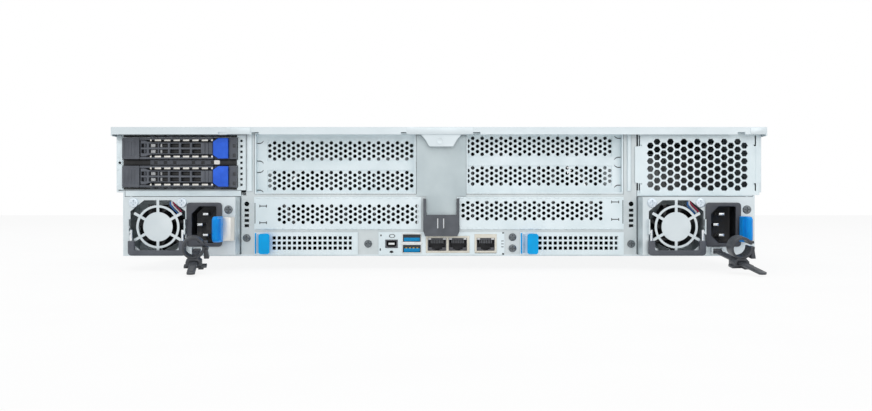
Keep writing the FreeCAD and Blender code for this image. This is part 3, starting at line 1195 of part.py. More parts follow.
def make_front_tray(index):
    """A drive carrier: a face with a recess for its lever, rails and the drive between them."""
    number_ = index + 1
    body = new_body("front_carrier_%d" % number_)
    face = new_sketch(body, "TrayFace%d" % number_, "XZ_Plane")
    add_box(face, "0", "0", "front_tray_wide", "front_tray_tall")
    pad(body, face, "front_face_deep", towards_plus=False)
    recess = new_sketch(body, "TrayRecess%d" % number_, "XZ_Plane")
    add_box(recess, "front_lever_start - front_lever_thick / 2 - fit",
            "(front_tray_tall - front_lever_tall) / 2 - fit",
            "front_lever_long + front_lever_thick + 2 * fit", "front_lever_tall + 2 * fit")
    pocket(body, recess, "front_lever_thick + fit", towards_plus=False)
    bore = new_sketch(body, "TrayBore%d" % number_, "XY_Plane",
                      "(front_tray_tall - front_lever_tall) / 2 - 2 * front_lever_pin")
    add_polygon(bore, "front_lever_start", "-front_lever_thick / 2",
                "front_lever_pin + pin_fit", 8)
    pocket(body, bore, "front_lever_tall + 4 * front_lever_pin")
    vent = new_sketch(body, "TrayVent%d" % number_, "XZ_Plane")
    add_box(vent, "front_lever_start + front_lever_long + 6", "front_tray_tall / 4",
            "front_vent_tall", "front_tray_tall / 2")
    repeat(body, pocket(body, vent, "front_face_deep", towards_plus=False),
           ("3", "front_vent_pitch"))
    rails = new_sketch(body, "FrontRails%d" % number_, "XZ_Plane", "-front_face_deep")
    for x in ("0", "front_tray_wide - front_rail"):
        add_box(rails, x, "(front_tray_tall - front_rail_tall) / 2", "front_rail",
                "front_rail_tall")
    pad(body, rails, "front_tray_long - front_face_deep", towards_plus=False)
    drive = new_body("front_drive_%d" % number_)
    case = new_sketch(drive, "FrontDrive%d" % number_, "XZ_Plane", "-front_face_deep - fit")
    add_box(case, "front_rail + fit", "(front_tray_tall - front_drive_tall) / 2",
            "front_tray_wide - 2 * front_rail - 2 * fit", "front_drive_tall")
    pad(drive, case, "front_drive_long", towards_plus=False)
    here = ("0", "0", "0")
    return gather("front_tray_%d" % number_, [(body, here), (drive, here)],
                  front_tray_place(index))


def make_front_lever(index):
    number_ = index + 1
    body = new_body("front_lever_%d" % number_, front_tray_place(index))
    low = "(front_tray_tall - front_lever_tall) / 2"
    bar = new_sketch(body, "FrontBar%d" % number_, "XY_Plane", low)
    add_box(bar, "front_lever_start", "-front_lever_thick", "front_lever_long",
            "front_lever_thick")
    pad(body, bar, "front_lever_tall")
    knuckle = new_sketch(body, "FrontKnuckle%d" % number_, "XY_Plane", low)
    add_polygon(knuckle, "front_lever_start", "-front_lever_thick / 2",
                "front_lever_thick / 2", 8)
    pad(body, knuckle, "front_lever_tall")
    pin = new_sketch(body, "FrontPin%d" % number_, "XY_Plane", low + " - front_lever_pin")
    add_polygon(pin, "front_lever_start", "-front_lever_thick / 2",
                "front_lever_pin * cos(15)", 12)
    pad(body, pin, "front_lever_tall + 2 * front_lever_pin")
    return body


def make_rack_ears():
    """The mounting ears: a slotted plate, a side flange and a moulded control housing."""
    body = new_body("rack_ear", ("0", "front", "0"))
    plate = new_sketch(body, "EarPlate", "XZ_Plane")
    add_outline(plate, [
        ("upper", "ear_gap"), ("rack_width / 2", "ear_gap"), ("rack_width / 2", "cover_top"),
        ("cover_edge + fit", "cover_top"), ("cover_edge + fit", "cover_top - cover_skirt - fit"),
        ("upper", "cover_top - cover_skirt - fit")])
    pad(body, plate, "ear_plate", towards_plus=False)
    flange = new_sketch(body, "EarFlange", "XZ_Plane")
    add_box(flange, "upper", "shoulder + steel", "ear_plate",
            "cover_top - cover_skirt - fit - shoulder - steel")
    pad(body, flange, "ear_side", towards_plus=False)
    slots = new_sketch(body, "EarSlots", "XZ_Plane")
    for side in ("-", "+"):
        add_slot(slots, "rack_hole_across / 2", "rack_middle %s rack_hole_up / 2" % side)
    pocket(body, slots, "ear_plate", towards_plus=False)
    box = new_sketch(body, "EarBox", "XZ_Plane")
    add_box(box, "upper + ear_gap", "rack_middle - ear_box_tall / 2", "ear_box_wide",
            "ear_box_tall")
    pad(body, box, "ear_box_out")
    round_edges(body, "ear_box_out / 4", lambda edge: runs_along(edge, "x")
                and edge.CenterOfMass.y > number("ear_box_out") - 0.01)
    bore = new_sketch(body, "ButtonBore", "XZ_Plane", "ear_box_out")
    add_polygon(bore, "upper + ear_gap + ear_box_wide / 2", "power_height",
                "power_button + fit", 8)
    pocket(body, bore, "power_deep - power_out + power_travel + fit", towards_plus=False)
    here = ("0", "0", "0")
    return gather("rack_ears", [(body, here), (mirror_across(body, "rack_ear_mirror"), here)])


def add_slot(sketch, x, z):
    """A round-ended slot for a rack screw, drawn with its middle at a point."""
    half = "(rack_slot_long - rack_slot_tall) / 2"
    radius = number("rack_slot_tall") / 2
    centre = FreeCAD.Vector(number(x), number(z), 0)
    reach = FreeCAD.Vector(number(half), 0, 0)
    up = FreeCAD.Vector(0, radius, 0)
    axis = FreeCAD.Vector(0, 0, 1)
    right = Part.ArcOfCircle(Part.Circle(centre + reach, axis, radius), -math.pi / 2, math.pi / 2)
    left = Part.ArcOfCircle(Part.Circle(centre - reach, axis, radius), math.pi / 2, math.pi * 1.5)
    first = sketch.GeometryCount
    sketch.addGeometry([Part.LineSegment(centre - reach - up, centre + reach - up), right,
                        Part.LineSegment(centre + reach + up, centre - reach + up), left])
    sketch.addConstraint([
        Sketcher.Constraint("Tangent", first, 2, first + 1, 1),
        Sketcher.Constraint("Tangent", first + 1, 2, first + 2, 1),
        Sketcher.Constraint("Tangent", first + 2, 2, first + 3, 1),
        Sketcher.Constraint("Tangent", first + 3, 2, first, 1)])
    pin_point(sketch, first + 1, 3, ("%s + %s" % (x, half), z), centre + reach)
    pin_point(sketch, first + 3, 3, ("%s - %s" % (x, half), z), centre - reach)
    held = sketch.addConstraint(Sketcher.Constraint("Radius", first + 1, radius))
    sketch.setExpression("Constraints[%d]" % held, formula("rack_slot_tall / 2"))


def make_power_button():
    body = new_body("power_button", ("upper + ear_gap + ear_box_wide / 2",
                                     "front + ear_box_out + power_out", "power_height"))
    cap = new_sketch(body, "PowerCap", "XZ_Plane")
    add_circle(cap, "0", "0", "power_button")
    pad(body, cap, "power_deep", towards_plus=False)
    return body


# ---- boards, heat sinks and memory ----

def make_circuit_boards():
    """The main board with its processor sockets, and an upright board behind each drive row."""
    main = new_body("main_board")
    outline = new_sketch(main, "BoardOutline", "XY_Plane", "steel + standoff")
    add_outline(outline, [
        ("tongue_start", "tongue_rear"), ("tongue_start + tongue_long", "tongue_rear"),
        ("tongue_start + tongue_long", "board_rear"), ("board_wide / 2", "board_rear"),
        ("board_wide / 2", "board_front"), ("-board_wide / 2", "board_front"),
        ("-board_wide / 2", "board_rear"), ("tongue_start", "board_rear")])
    pad(main, outline, "board")
    sockets = new_sketch(main, "CpuSockets", "XY_Plane", "board_top")
    for side in ("-", ""):
        add_box(sockets, "%ssink_place - cpu_socket_wide / 2" % side,
                "sink_rear + (sink_long - cpu_socket_long) / 2", "cpu_socket_wide",
                "cpu_socket_long")
    pad(main, sockets, "socket_tall")
    rear = new_body("rear_backplane")
    plate = new_sketch(rear, "RearBoard", "XZ_Plane", "rear + cage_depth")
    add_box(plate, "cage_left", "cage_low", "cage_right - cage_left", "cage_high - cage_low")
    pad(rear, plate, "board")
    front = new_body("front_backplane")
    strip = new_sketch(front, "FrontBoard", "XZ_Plane",
                       "front + front_tray_proud - front_tray_long - fit")
    for index in range(4):
        add_box(strip, "front_tray_start + %d * front_pitch" % index, "steel", "front_tray_wide",
                "front_shelf - steel")
    pad(front, strip, "board", towards_plus=False)
    here = ("0", "0", "0")
    return gather("circuit_boards", [(main, here), (rear, here), (front, here)])


def make_heatsinks():
    sink = new_body("heatsink", ("0", "sink_rear", "board_top + socket_tall"))
    base = new_sketch(sink, "SinkBase", "XY_Plane")
    add_box(base, "-sink_wide / 2", "0", "sink_wide", "sink_long")
    pad(sink, base, "sink_base")
    fin = new_sketch(sink, "SinkFin", "XY_Plane", "sink_base")
    add_box(fin, "-sink_wide / 2", "0", "sink_fin", "sink_long")
    repeat(sink, pad(sink, fin, "sink_tall - sink_base"),
           ("sink_fins", "(sink_wide - sink_fin) / (sink_fins - 1)"))
    return gather("heatsinks", [(sink, (x, "0", "0")) for x in ("sink_place", "-sink_place")])


def make_memory_modules():
    stick = new_body("memory_module", ("0", "memory_rear", "board_top"))
    plate = new_sketch(stick, "MemoryPlate", "XY_Plane")
    add_box(plate, "-memory_thick / 2", "0", "memory_thick", "memory_long")
    pad(stick, plate, "memory_tall")
    members = []
    for index in range(6):
        members.append((stick, ("(%d - 2.5) * memory_pitch" % index, "0", "0")))
    for side in ("-", "+"):
        for index in range(2):
            members.append((stick, ("%s(memory_outer + %d * memory_pitch)" % (side, index),
                                    "0", "0")))
    return gather("memory_modules", members)


# ---- the whole server ----

def make_everything():
    nodes = [
        make_chassis_base(), make_top_cover(), make_front_top_panel(), make_cover_latch(),
        make_rear_wall(), make_riser_brackets(), make_slot_covers(),
        make_io_panel(), make_display_socket(), make_usb_sockets(), make_lan_sockets(),
        make_center_bracket(), make_bracket_foot(), make_vent_panel(), make_rear_drive_cage(),
        make_psu_tunnels(), make_front_cage(), make_rack_ears(), make_power_button(),
        make_circuit_boards(), make_heatsinks(), make_memory_modules(), make_fan_cage()]
    for index in range(4):
        nodes += [make_fan_rotor(index), make_front_tray(index), make_front_lever(index)]
    for number_ in (1, 2):
        nodes += [make_rear_tray(number_), make_rear_lever(number_), make_rear_button(number_)]
    for side, place in (("left", "-card_bay_start - card_bay_long"), ("right", "card_bay_start")):
        nodes += [make_card_cover(side, place), make_card_tab(side, place)]
        nodes += [make_psu_case(side), make_psu_inlet(side), make_psu_rotor(side),
                  make_psu_handle(side), make_psu_latch(side), make_psu_strap(side),
                  make_psu_clamp(side)]
    return nodes


def check_cuts():
    for before, after in cuts:
        if not after.Shape.Volume < before.Shape.Volume:
            raise RuntimeError("%s cuts nothing" % after.Name)


def check_and_export(nodes):
    doc.recompute()
    for item in doc.Objects:
        if "Invalid" in item.State or "Error" in item.State:
            raise RuntimeError("%s failed to build" % item.Name)
    for node in nodes:
        if node.Shape.isNull() or not node.Shape.isValid():
            raise RuntimeError("%s has no valid shape" % node.Label)
    check_cuts()
    os.makedirs("parts", exist_ok=True)
    for node in nodes:
        node.Shape.exportStep("parts/%s.step" % node.Label)
    print("wrote", len(nodes), "nodes")


check_and_export(make_everything())
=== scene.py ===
import math

import bpy
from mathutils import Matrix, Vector


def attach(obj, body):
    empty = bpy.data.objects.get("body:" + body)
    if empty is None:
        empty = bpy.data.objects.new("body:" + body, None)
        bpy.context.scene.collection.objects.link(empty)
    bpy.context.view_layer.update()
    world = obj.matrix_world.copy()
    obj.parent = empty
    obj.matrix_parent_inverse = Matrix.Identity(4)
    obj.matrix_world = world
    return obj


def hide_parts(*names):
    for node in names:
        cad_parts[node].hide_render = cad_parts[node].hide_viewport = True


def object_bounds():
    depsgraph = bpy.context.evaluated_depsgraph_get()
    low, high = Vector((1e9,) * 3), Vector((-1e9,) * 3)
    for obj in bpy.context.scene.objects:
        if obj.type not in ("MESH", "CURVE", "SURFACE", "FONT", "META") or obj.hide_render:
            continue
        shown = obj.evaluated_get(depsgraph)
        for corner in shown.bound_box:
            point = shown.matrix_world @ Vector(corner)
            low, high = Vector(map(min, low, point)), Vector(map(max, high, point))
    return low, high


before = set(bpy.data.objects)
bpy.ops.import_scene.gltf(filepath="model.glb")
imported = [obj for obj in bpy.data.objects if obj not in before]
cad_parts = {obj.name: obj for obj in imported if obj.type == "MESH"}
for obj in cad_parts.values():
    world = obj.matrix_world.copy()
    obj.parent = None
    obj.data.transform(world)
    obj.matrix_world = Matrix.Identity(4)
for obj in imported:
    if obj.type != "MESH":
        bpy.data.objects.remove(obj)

bpy.ops.object.select_all(action="DESELECT")


def asLists(box):
    return [[round(value, 5) for value in corner] for corner in box]


cadBox = asLists(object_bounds())
lowestPoint = cadBox[0][2]

cameraSettings = {"place": (-0.002, -1.190, 0.0343), "lens": 48.6, "sensor": 36}

# the camera looks square at the rear panel, level with the middle of the server
bpy.ops.object.camera_add(location=cameraSettings["place"], rotation=(math.radians(90), 0, 0))
camera = bpy.context.object
camera.data.lens = cameraSettings["lens"]
camera.data.sensor_width = cameraSettings["sensor"]
camera.data.clip_start = 0.01
bpy.context.scene.camera = camera


def at(x, y, z):
    return Vector((x, y, z)) / 1000  # every size below is in millimetres


def linearColor(hexCode):
    parts = [int(hexCode[i:i + 2], 16) / 255 for i in (1, 3, 5)]
    parts = [c / 12.92 if c <= 0.04045 else ((c + 0.055) / 1.055) ** 2.4 for c in parts]
    return (*parts, 1)


def addNode(tree, kind, settings={}, links={}):
    node = tree.nodes.new(kind)
    for name, value in settings.items():
        if isinstance(name, str) and hasattr(node, name):
            setattr(node, name, value)
        else:
            node.inputs[name].default_value = value
    for name, source in links.items():
        tree.links.new(source, node.inputs[name])
    return node


def startMaterial(name, roughness, metallic=0):
    material = bpy.data.materials.new(name)
    material.use_nodes = True
    tree = material.node_tree
    shader = tree.nodes["Principled BSDF"]
    shader.inputs["Roughness"].default_value = roughness
    shader.inputs["Metallic"].default_value = metallic
    return material, tree, shader


def grainPattern(tree, grain, detail, stretch):
    # noise whose grain is given in millimetres, stretched along the axes of the server
    place = addNode(tree, "ShaderNodeTexCoord")
    spread = addNode(tree, "ShaderNodeMapping", {"Scale": stretch},
                     {"Vector": place.outputs["Object"]})
    return addNode(tree, "ShaderNodeTexNoise", {"Scale": 1000 / grain, "Detail": detail},
                   {"Vector": spread.outputs["Vector"]})


def tint(tree, shader, light, dark, grain, stretch=(1, 1, 1)):
    noise = grainPattern(tree, grain, 4, stretch)
    ramp = addNode(tree, "ShaderNodeMapRange", {"From Min": 0.32, "From Max": 0.68},
                   {"Value": noise.outputs["Fac"]})
    blend = addNode(tree, "ShaderNodeMix", {"data_type": "RGBA", 6: linearColor(dark),
                                            7: linearColor(light)},
                    {0: ramp.outputs["Result"]})
    tree.links.new(blend.outputs[2], shader.inputs["Base Color"])


def wear(tree, shader, smooth, rough, grain):
    # uneven sheen between two roughness values
    noise = grainPattern(tree, grain, 3, (1, 1, 1))
    ramp = addNode(tree, "ShaderNodeMapRange", {"From Min": 0.3, "From Max": 0.7,
                                                "To Min": smooth, "To Max": rough},
                   {"Value": noise.outputs["Fac"]})
    tree.links.new(ramp.outputs["Result"], shader.inputs["Roughness"])


def grainBump(tree, shader, grain, depth, stretch=(1, 1, 1)):
    # a fine relief with its grain width and depth in millimetres
    noise = grainPattern(tree, grain, 2, stretch)
    bump = addNode(tree, "ShaderNodeBump", {"Strength": 0.6, "Distance": depth / 1000},
                   {"Height": noise.outputs["Fac"]})
    tree.links.new(bump.outputs["Normal"], shader.inputs["Normal"])


def zincSheet(name, light, dark, roughness=0.44):
    # electro-galvanised steel, cold rolled: pale and satin, cloudy patches 25 mm wide and a
    # rolling grain of about 0.9 mm, drawn coarser than the real 0.1 mm so that it shows
    material, tree, shader = startMaterial(name, roughness, 0.7)
    tint(tree, shader, light, dark, 25)
    wear(tree, shader, roughness - 0.05, roughness + 0.08, 9)
    grainBump(tree, shader, 0.9, 0.012, (1, 1, 4))
    return material


def mouldedPlastic(name, light, dark, roughness=0.5):
    # injection-moulded with a spark-eroded mould: fine matt pits, 0.7 mm here so that they show
    material, tree, shader = startMaterial(name, roughness)
    tint(tree, shader, light, dark, 6)
    wear(tree, shader, roughness - 0.08, roughness + 0.08, 3)
    grainBump(tree, shader, 0.7, 0.03)
    return material


def tintedPlastic(name, light, dark, roughness):
    # the clear-coloured touch points: a thin resin with less surface reflection
    material = mouldedPlastic(name, light, dark, roughness)
    shader = material.node_tree.nodes["Principled BSDF"]
    shader.inputs["Specular IOR Level"].default_value = 0.2
    return material


def platedMetal(name, light, dark, roughness=0.28):
    # electroplated or turned metal: bright, with faint handling marks 1.5 mm wide
    material, tree, shader = startMaterial(name, roughness, 1)
    tint(tree, shader, light, dark, 2.5)
    wear(tree, shader, roughness - 0.08, roughness + 0.1, 1.5)
    return material


def solderMask(name):
    # glass-fibre laminate under green solder mask, copper tracks about 0.3 mm wide
    material, tree, shader = startMaterial(name, 0.38)
    place = addNode(tree, "ShaderNodeTexCoord")
    tracks = addNode(tree, "ShaderNodeTexVoronoi", {"Scale": 160, "distance": "CHEBYCHEV",
                                                    "feature": "DISTANCE_TO_EDGE"},
                     {"Vector": place.outputs["Object"]})
    edge = addNode(tree, "ShaderNodeMath", {"operation": "LESS_THAN", 1: 0.06},
                   {0: tracks.outputs["Distance"]})
    blend = addNode(tree, "ShaderNodeMix", {"data_type": "RGBA", 6: linearColor("#123B2A"),
                                            7: linearColor("#1F5A3C")}, {0: edge.outputs[0]})
    tree.links.new(blend.outputs[2], shader.inputs["Base Color"])
    wear(tree, shader, 0.3, 0.45, 4)
    return material


steelShell = zincSheet("galvanisedSteelShell", "#DAE3E7", "#D3DDE1", 0.4)
steelPanel = zincSheet("galvanisedSteelPanel", "#E2ECF0", "#D8E4E8")
steelPost = zincSheet("galvanisedSteelPost", "#D4DBDD", "#CAD2D4")
steelBracket = zincSheet("galvanisedSteelBracket", "#C3CED1", "#B2BEC2", 0.38)
steelGuard = zincSheet("galvanisedSteelGuard", "#DCE4E7", "#CCD6DA", 0.42)
springSteel = zincSheet("stainlessSpringSteel", "#E4E2DC", "#D6D4CE", 0.32)
trayPlastic = mouldedPlastic("mouldedAbsTray", "#5A5E66", "#4D5159")
barPlastic = mouldedPlastic("mouldedAbsBar", "#62666E", "#565A62")
inletPlastic = mouldedPlastic("mouldedNylonInlet", "#4B4E55", "#3F4249", 0.48)
# real black nylon for the inlet block and a fan wire, and also painted shade in the bay gaps, the
# tray window floors and the panel openings
blackNylonAndShade = mouldedPlastic("mouldedNylonBlackAndShade", "#1C1D20", "#131416", 0.4)
clampNylon = mouldedPlastic("mouldedNylonClamp", "#45484E", "#383B40", 0.42)
fanPlastic = mouldedPlastic("mouldedPbtFan", "#1C1D20", "#131416", 0.33)
footPlastic = mouldedPlastic("mouldedAbsFoot", "#5B5F66", "#4F5359")
earPlastic = mouldedPlastic("mouldedAbsEar", "#3C3F45", "#33363B")
latchBlue = tintedPlastic("mouldedAbsLatchBlue", "#3A70EC", "#2F62DA", 0.42)
gripBlue = tintedPlastic("mouldedAbsGripBlue", "#009AF5", "#008CE4", 0.42)
tabBlue = tintedPlastic("mouldedPcTabBlue", "#00B0F6", "#00A6EA", 0.45)
tongueBlue = tintedPlastic("mouldedPbtTongueBlue", "#0B93D0", "#0886C0", 0.36)
creamFrame = mouldedPlastic("mouldedPbtCream", "#EFEADD", "#E4DECF", 0.45)
portGrey = mouldedPlastic("mouldedPbtPortGrey", "#55565C", "#494A50", 0.45)
blankLabel = mouldedPlastic("paperLabel", "#E9EBEC", "#DDDFE1", 0.6)
smokyPipe = mouldedPlastic("mouldedPcSmoky", "#3A3D43", "#303338", 0.25)
combGrey = mouldedPlastic("mouldedPbtComb", "#77797E", "#6A6C71", 0.4)
# painted shade: a dark grey laid in slits, pressed creases and socket mouths, where only shade
# falls
shadowGap = mouldedPlastic("paintedShadeDark", "#3A4044", "#2E3336", 0.55)
edgeTint = mouldedPlastic("mouldedPcLightPipe", "#B7D3E6", "#A9C8DE", 0.3)
wireRed = mouldedPlastic("pvcWireRed", "#B5274F", "#A31F45", 0.4)
wireBlue = mouldedPlastic("pvcWireBlue", "#2E6FB4", "#2763A6", 0.4)
nickel = platedMetal("nickelPlate", "#E6E9EB", "#D2D7DA")
panScrew = platedMetal("zincScrewBright", "#DCE5EC", "#C6D1DA", 0.3)
darkScrew = platedMetal("blackZincScrew", "#7C8286", "#63686C", 0.4)
tinPlate = platedMetal("tinPlate", "#DDE0E0", "#CDD1D1", 0.34)
gold = platedMetal("goldFlash", "#E2BE62", "#CDA54A", 0.25)
aluminium = platedMetal("millFinishAluminium", "#D9DBDD", "#C6C9CC", 0.38)
board = solderMask("solderMaskLaminate")

cadMaterials = {
    steelShell: ["chassis_base", "top_cover", "front_top_panel"],
    steelPanel: ["riser_brackets", "io_panel", "rear_drive_cage", "psu_tunnels", "front_cage"],
    steelPost: ["rear_wall"],
    steelBracket: ["center_bracket"],
    steelGuard: ["psu_case_left", "psu_case_right"],
    trayPlastic: ["rear_tray_1", "rear_tray_2", "cover_latch"]
                 + ["front_tray_%d" % n for n in range(1, 5)],
    earPlastic: ["rack_ears"] + ["front_lever_%d" % n for n in range(1, 5)],
    fanPlastic: ["fan_cage", "psu_rotor_left", "psu_rotor_right"]
                + ["fan_rotor_%d" % n for n in range(1, 5)],
    footPlastic: ["bracket_foot"],
    tabBlue: ["card_tab_left", "card_tab_right"],
    nickel: ["power_button"],
    board: ["circuit_boards", "memory_modules"],
    aluminium: ["heatsinks"],
}
for material, names in cadMaterials.items():
    for name in names:
        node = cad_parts[name]
        node.data.materials.clear()
        node.data.materials.append(material)
print("materials are on the solids that stay")

# each softbox has its place and its width in metres, and its power in watts
studio = {"floor": 8, "floorGlow": 0.86, "skyLight": 0.62, "aim": (0, -0.2, 0.05),
          "softboxes": {"ceilingSoftbox": ((0, -0.5, 1.6), 2.2, 10),
                        "leftSoftbox": ((-1.9, -1.0, 0.9), 1.4, 4),
                        "frontSoftbox": ((0.4, -2.4, 1.0), 1.8, 6)}}


def seenDirectly(tree):
    # 1 for rays from the camera and for those that show the backdrop in metal or glass
    path = addNode(tree, "ShaderNodeLightPath")
    mirrored = addNode(tree, "ShaderNodeMath", {"operation": "MAXIMUM"},
                       {0: path.outputs["Is Glossy Ray"], 1: path.outputs["Is Transmission Ray"]})
    return addNode(tree, "ShaderNodeMath", {"operation": "MAXIMUM"},
                   {0: path.outputs["Is Camera Ray"], 1: mirrored.outputs[0]}).outputs[0]


def makeFloor():
    bpy.ops.mesh.primitive_plane_add(size=studio["floor"], location=(0, 0, lowestPoint - 0.001))
    floor = bpy.context.object
    floor.name = "studioFloor"
    bpy.ops.object.transform_apply(location=True)
    material, tree, shader = startMaterial("paperSweep", 0.9)
    tint(tree, shader, "#FAFBFB", "#F4F5F6", 60)
    glow = addNode(tree, "ShaderNodeEmission", {"Color": (1, 1, 1, 1), "Strength": 1})
    fade = addNode(tree, "ShaderNodeMath", {"operation": "MULTIPLY", 1: studio["floorGlow"]},
                   {0: seenDirectly(tree)})
    mix = addNode(tree, "ShaderNodeMixShader", {}, {0: fade.outputs[0],
                                                    1: shader.outputs["BSDF"],
                                                    2: glow.outputs["Emission"]})
    tree.links.new(mix.outputs[0], tree.nodes["Material Output"].inputs["Surface"])
    floor.data.materials.append(material)


def lightTheRoom():
    world = bpy.data.worlds.new("studioWorld")
    bpy.context.scene.world = world
    world.use_nodes = True
    tree = world.node_tree
    strength = addNode(tree, "ShaderNodeMapRange", {"To Min": studio["skyLight"], "To Max": 1},
                       {"Value": seenDirectly(tree)})
    background = tree.nodes["Background"]
    background.inputs["Color"].default_value = (1, 1, 1, 1)
    tree.links.new(strength.outputs["Result"], background.inputs["Strength"])
    for name, (place, size, power) in studio["softboxes"].items():
        bpy.ops.object.light_add(type="AREA", location=place)
        lamp = bpy.context.object
        lamp.name = name
        lamp.data.size = size
        lamp.data.energy = power
        aim = Vector(studio["aim"]) - Vector(place)
        lamp.rotation_euler = aim.to_track_quat("-Z", "Y").to_euler()


makeFloor()
lightTheRoom()
bpy.context.scene.view_settings.view_transform = "Standard"
print("the studio is lit")


def wakeOnly(piece):
    bpy.ops.object.select_all(action="DESELECT")
    piece.select_set(True)
    bpy.context.view_layer.objects.active = piece


def pick(piece, kind, wanted):
    # select the faces, edges or corners that a test wants and stay in edit mode
    wakeOnly(piece)
    bpy.ops.object.mode_set(mode="EDIT")
    bpy.ops.mesh.select_mode(type=kind)
    bpy.ops.mesh.select_all(action="DESELECT")
    bpy.ops.object.mode_set(mode="OBJECT")
    mesh = piece.data
    if kind == "FACE":
        for face in mesh.polygons:
            face.select = bool(wanted(face.center * 1000, face.normal))
    elif kind == "EDGE":
        for edge in mesh.edges:
            first, last = (mesh.vertices[corner].co for corner in edge.vertices)
            edge.select = bool(wanted((first + last) * 500, (last - first).normalized()))
    else:
        for corner in mesh.vertices:
            corner.select = bool(wanted(corner.co * 1000))
    bpy.ops.object.mode_set(mode="EDIT")


def putDown():
    bpy.ops.object.mode_set(mode="OBJECT")


def named(name):
    piece = bpy.context.object
    piece.name = name
    piece.data.name = name
    bpy.ops.object.transform_apply(location=True, rotation=True, scale=True)
    return piece


def addBlock(name, low, high):
    low, high = at(*low), at(*high)
    bpy.ops.mesh.primitive_cube_add(size=1, location=(low + high) / 2)
    bpy.context.object.scale = high - low
    return named(name)


turns = {"x": (0, math.radians(90), 0), "y": (math.radians(90), 0, 0), "z": (0, 0, 0)}


def addRod(name, middle, radius, length, axis="y", sides=24):
    bpy.ops.mesh.primitive_cylinder_add(vertices=sides, radius=radius / 1000, depth=length / 1000,
                                        location=at(*middle), rotation=turns[axis])
    return named(name)


def pushFaces(piece, wanted, shift, grow=None):
    # extrude the wanted faces by a shift, then scale them about their own middle
    pick(piece, "FACE", wanted)
    bpy.ops.mesh.extrude_region_move(TRANSFORM_OT_translate={"value": at(*shift)})
    if grow:
        bpy.ops.transform.resize(value=grow)
    putDown()


def insetFaces(piece, wanted, border, depth=0, single=False):
    pick(piece, "FACE", wanted)
    bpy.ops.mesh.inset(thickness=border / 1000, depth=depth / 1000, use_individual=single)
    putDown()


def cutFaces(piece, wanted):
    pick(piece, "FACE", wanted)
    bpy.ops.mesh.delete(type="FACE")
    putDown()


def moveCorners(piece, wanted, shift):
    pick(piece, "VERT", wanted)
    bpy.ops.transform.translate(value=at(*shift))
    putDown()


def bevelEdges(piece, wanted, width, steps=3):
    pick(piece, "EDGE", wanted)
    bpy.ops.mesh.bevel(offset=width / 1000, segments=steps, affect="EDGES")
    putDown()


def applyModifier(piece, kind, **settings):
    wakeOnly(piece)
    modifier = piece.modifiers.new(kind.lower(), kind)
    for name, value in settings.items():
        setattr(modifier, name, value)
    bpy.ops.object.modifier_apply(modifier=modifier.name)


def soften(piece, width=0.2, steps=2):
    applyModifier(piece, "BEVEL", width=width / 1000, segments=steps, limit_method="ANGLE",
                  angle_limit=math.radians(35))
    return piece


def thicken(piece, thickness):
    applyModifier(piece, "SOLIDIFY", thickness=thickness / 1000)
    return piece


def joined(name, parts):
    bpy.ops.object.select_all(action="DESELECT")
    for part in parts:
        part.select_set(True)
    bpy.context.view_layer.objects.active = parts[0]
    if len(parts) > 1:
        bpy.ops.object.join()
    parts[0].name = name
    parts[0].data.name = name
    return parts[0]


def cutAway(piece, cutters):
    # cut the joined cutters out of the piece
    cutter = joined("cutter", cutters)
    applyModifier(piece, "BOOLEAN", operation="DIFFERENCE", solver="EXACT", object=cutter)
    bpy.data.objects.remove(cutter)
    return piece


def copied(piece, name, shift):
    # a copy with its own mesh, moved by a shift
    wakeOnly(piece)
    bpy.ops.object.duplicate()
    twin = named(name)
    twin.location = at(*shift)
    bpy.ops.object.transform_apply(location=True, rotation=True, scale=True)
    return twin


def finishPiece(piece, material, body, slot, *replaced):
    wakeOnly(piece)
    bpy.ops.object.shade_smooth_by_angle(angle=math.radians(32))
    piece.data.materials.clear()
    piece.data.materials.append(material)
    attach(piece, body)
    if replaced:
        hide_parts(*replaced)
    return piece


def runsDeep(spot, way):
    return abs(way.y) > 0.9  # an edge that runs from the rear to the front


def facesRear(spot, facing):
    return facing.y < -0.9


def placed(piece, place, turn):
    # turns a piece about z, then y, then x, and sets it down at its place
    wakeOnly(piece)
    piece.rotation_mode = "ZYX"
    piece.rotation_euler = [math.radians(angle) for angle in turn]
    piece.location = at(*place)
    bpy.ops.object.transform_apply(location=True, rotation=True, scale=True)
    piece.rotation_mode = "XYZ"
    return piece


def repeated(piece, count, step):
    applyModifier(piece, "ARRAY", count=count, use_relative_offset=False,
                  use_constant_offset=True, constant_offset_displace=at(*step))
    return piece


def softened(parts, width):
    for part in parts:
        soften(part, width)
    return parts


def addGrid(name, corner, pitch, cells):
    # a flat grid that faces the rear, its lower left corner at the given place
    wide, tall = cells[0] * pitch[0], cells[1] * pitch[1]
    bpy.ops.mesh.primitive_grid_add(x_subdivisions=cells[0], y_subdivisions=cells[1], size=1,
                                    location=at(corner[0] + wide / 2, corner[1],
                                                corner[2] + tall / 2), rotation=turns["y"])
    bpy.context.object.scale = (wide / 1000, tall / 1000, 1)
    return named(name)


def stretchTo(plate, corner, pitch, cells, edges):
    # pull the grid's rim out to the real edges of the plate
    right, top = corner[0] + cells[0] * pitch[0], corner[2] + cells[1] * pitch[1]
    moveCorners(plate, lambda spot: spot.x < corner[0] + 0.1, (edges[0] - corner[0], 0, 0))
    moveCorners(plate, lambda spot: spot.x > right - 0.1, (edges[2] - right, 0, 0))
    moveCorners(plate, lambda spot: spot.z < corner[2] + 0.1, (0, 0, edges[1] - corner[2]))
    moveCorners(plate, lambda spot: spot.z > top - 0.1, (0, 0, edges[3] - top))


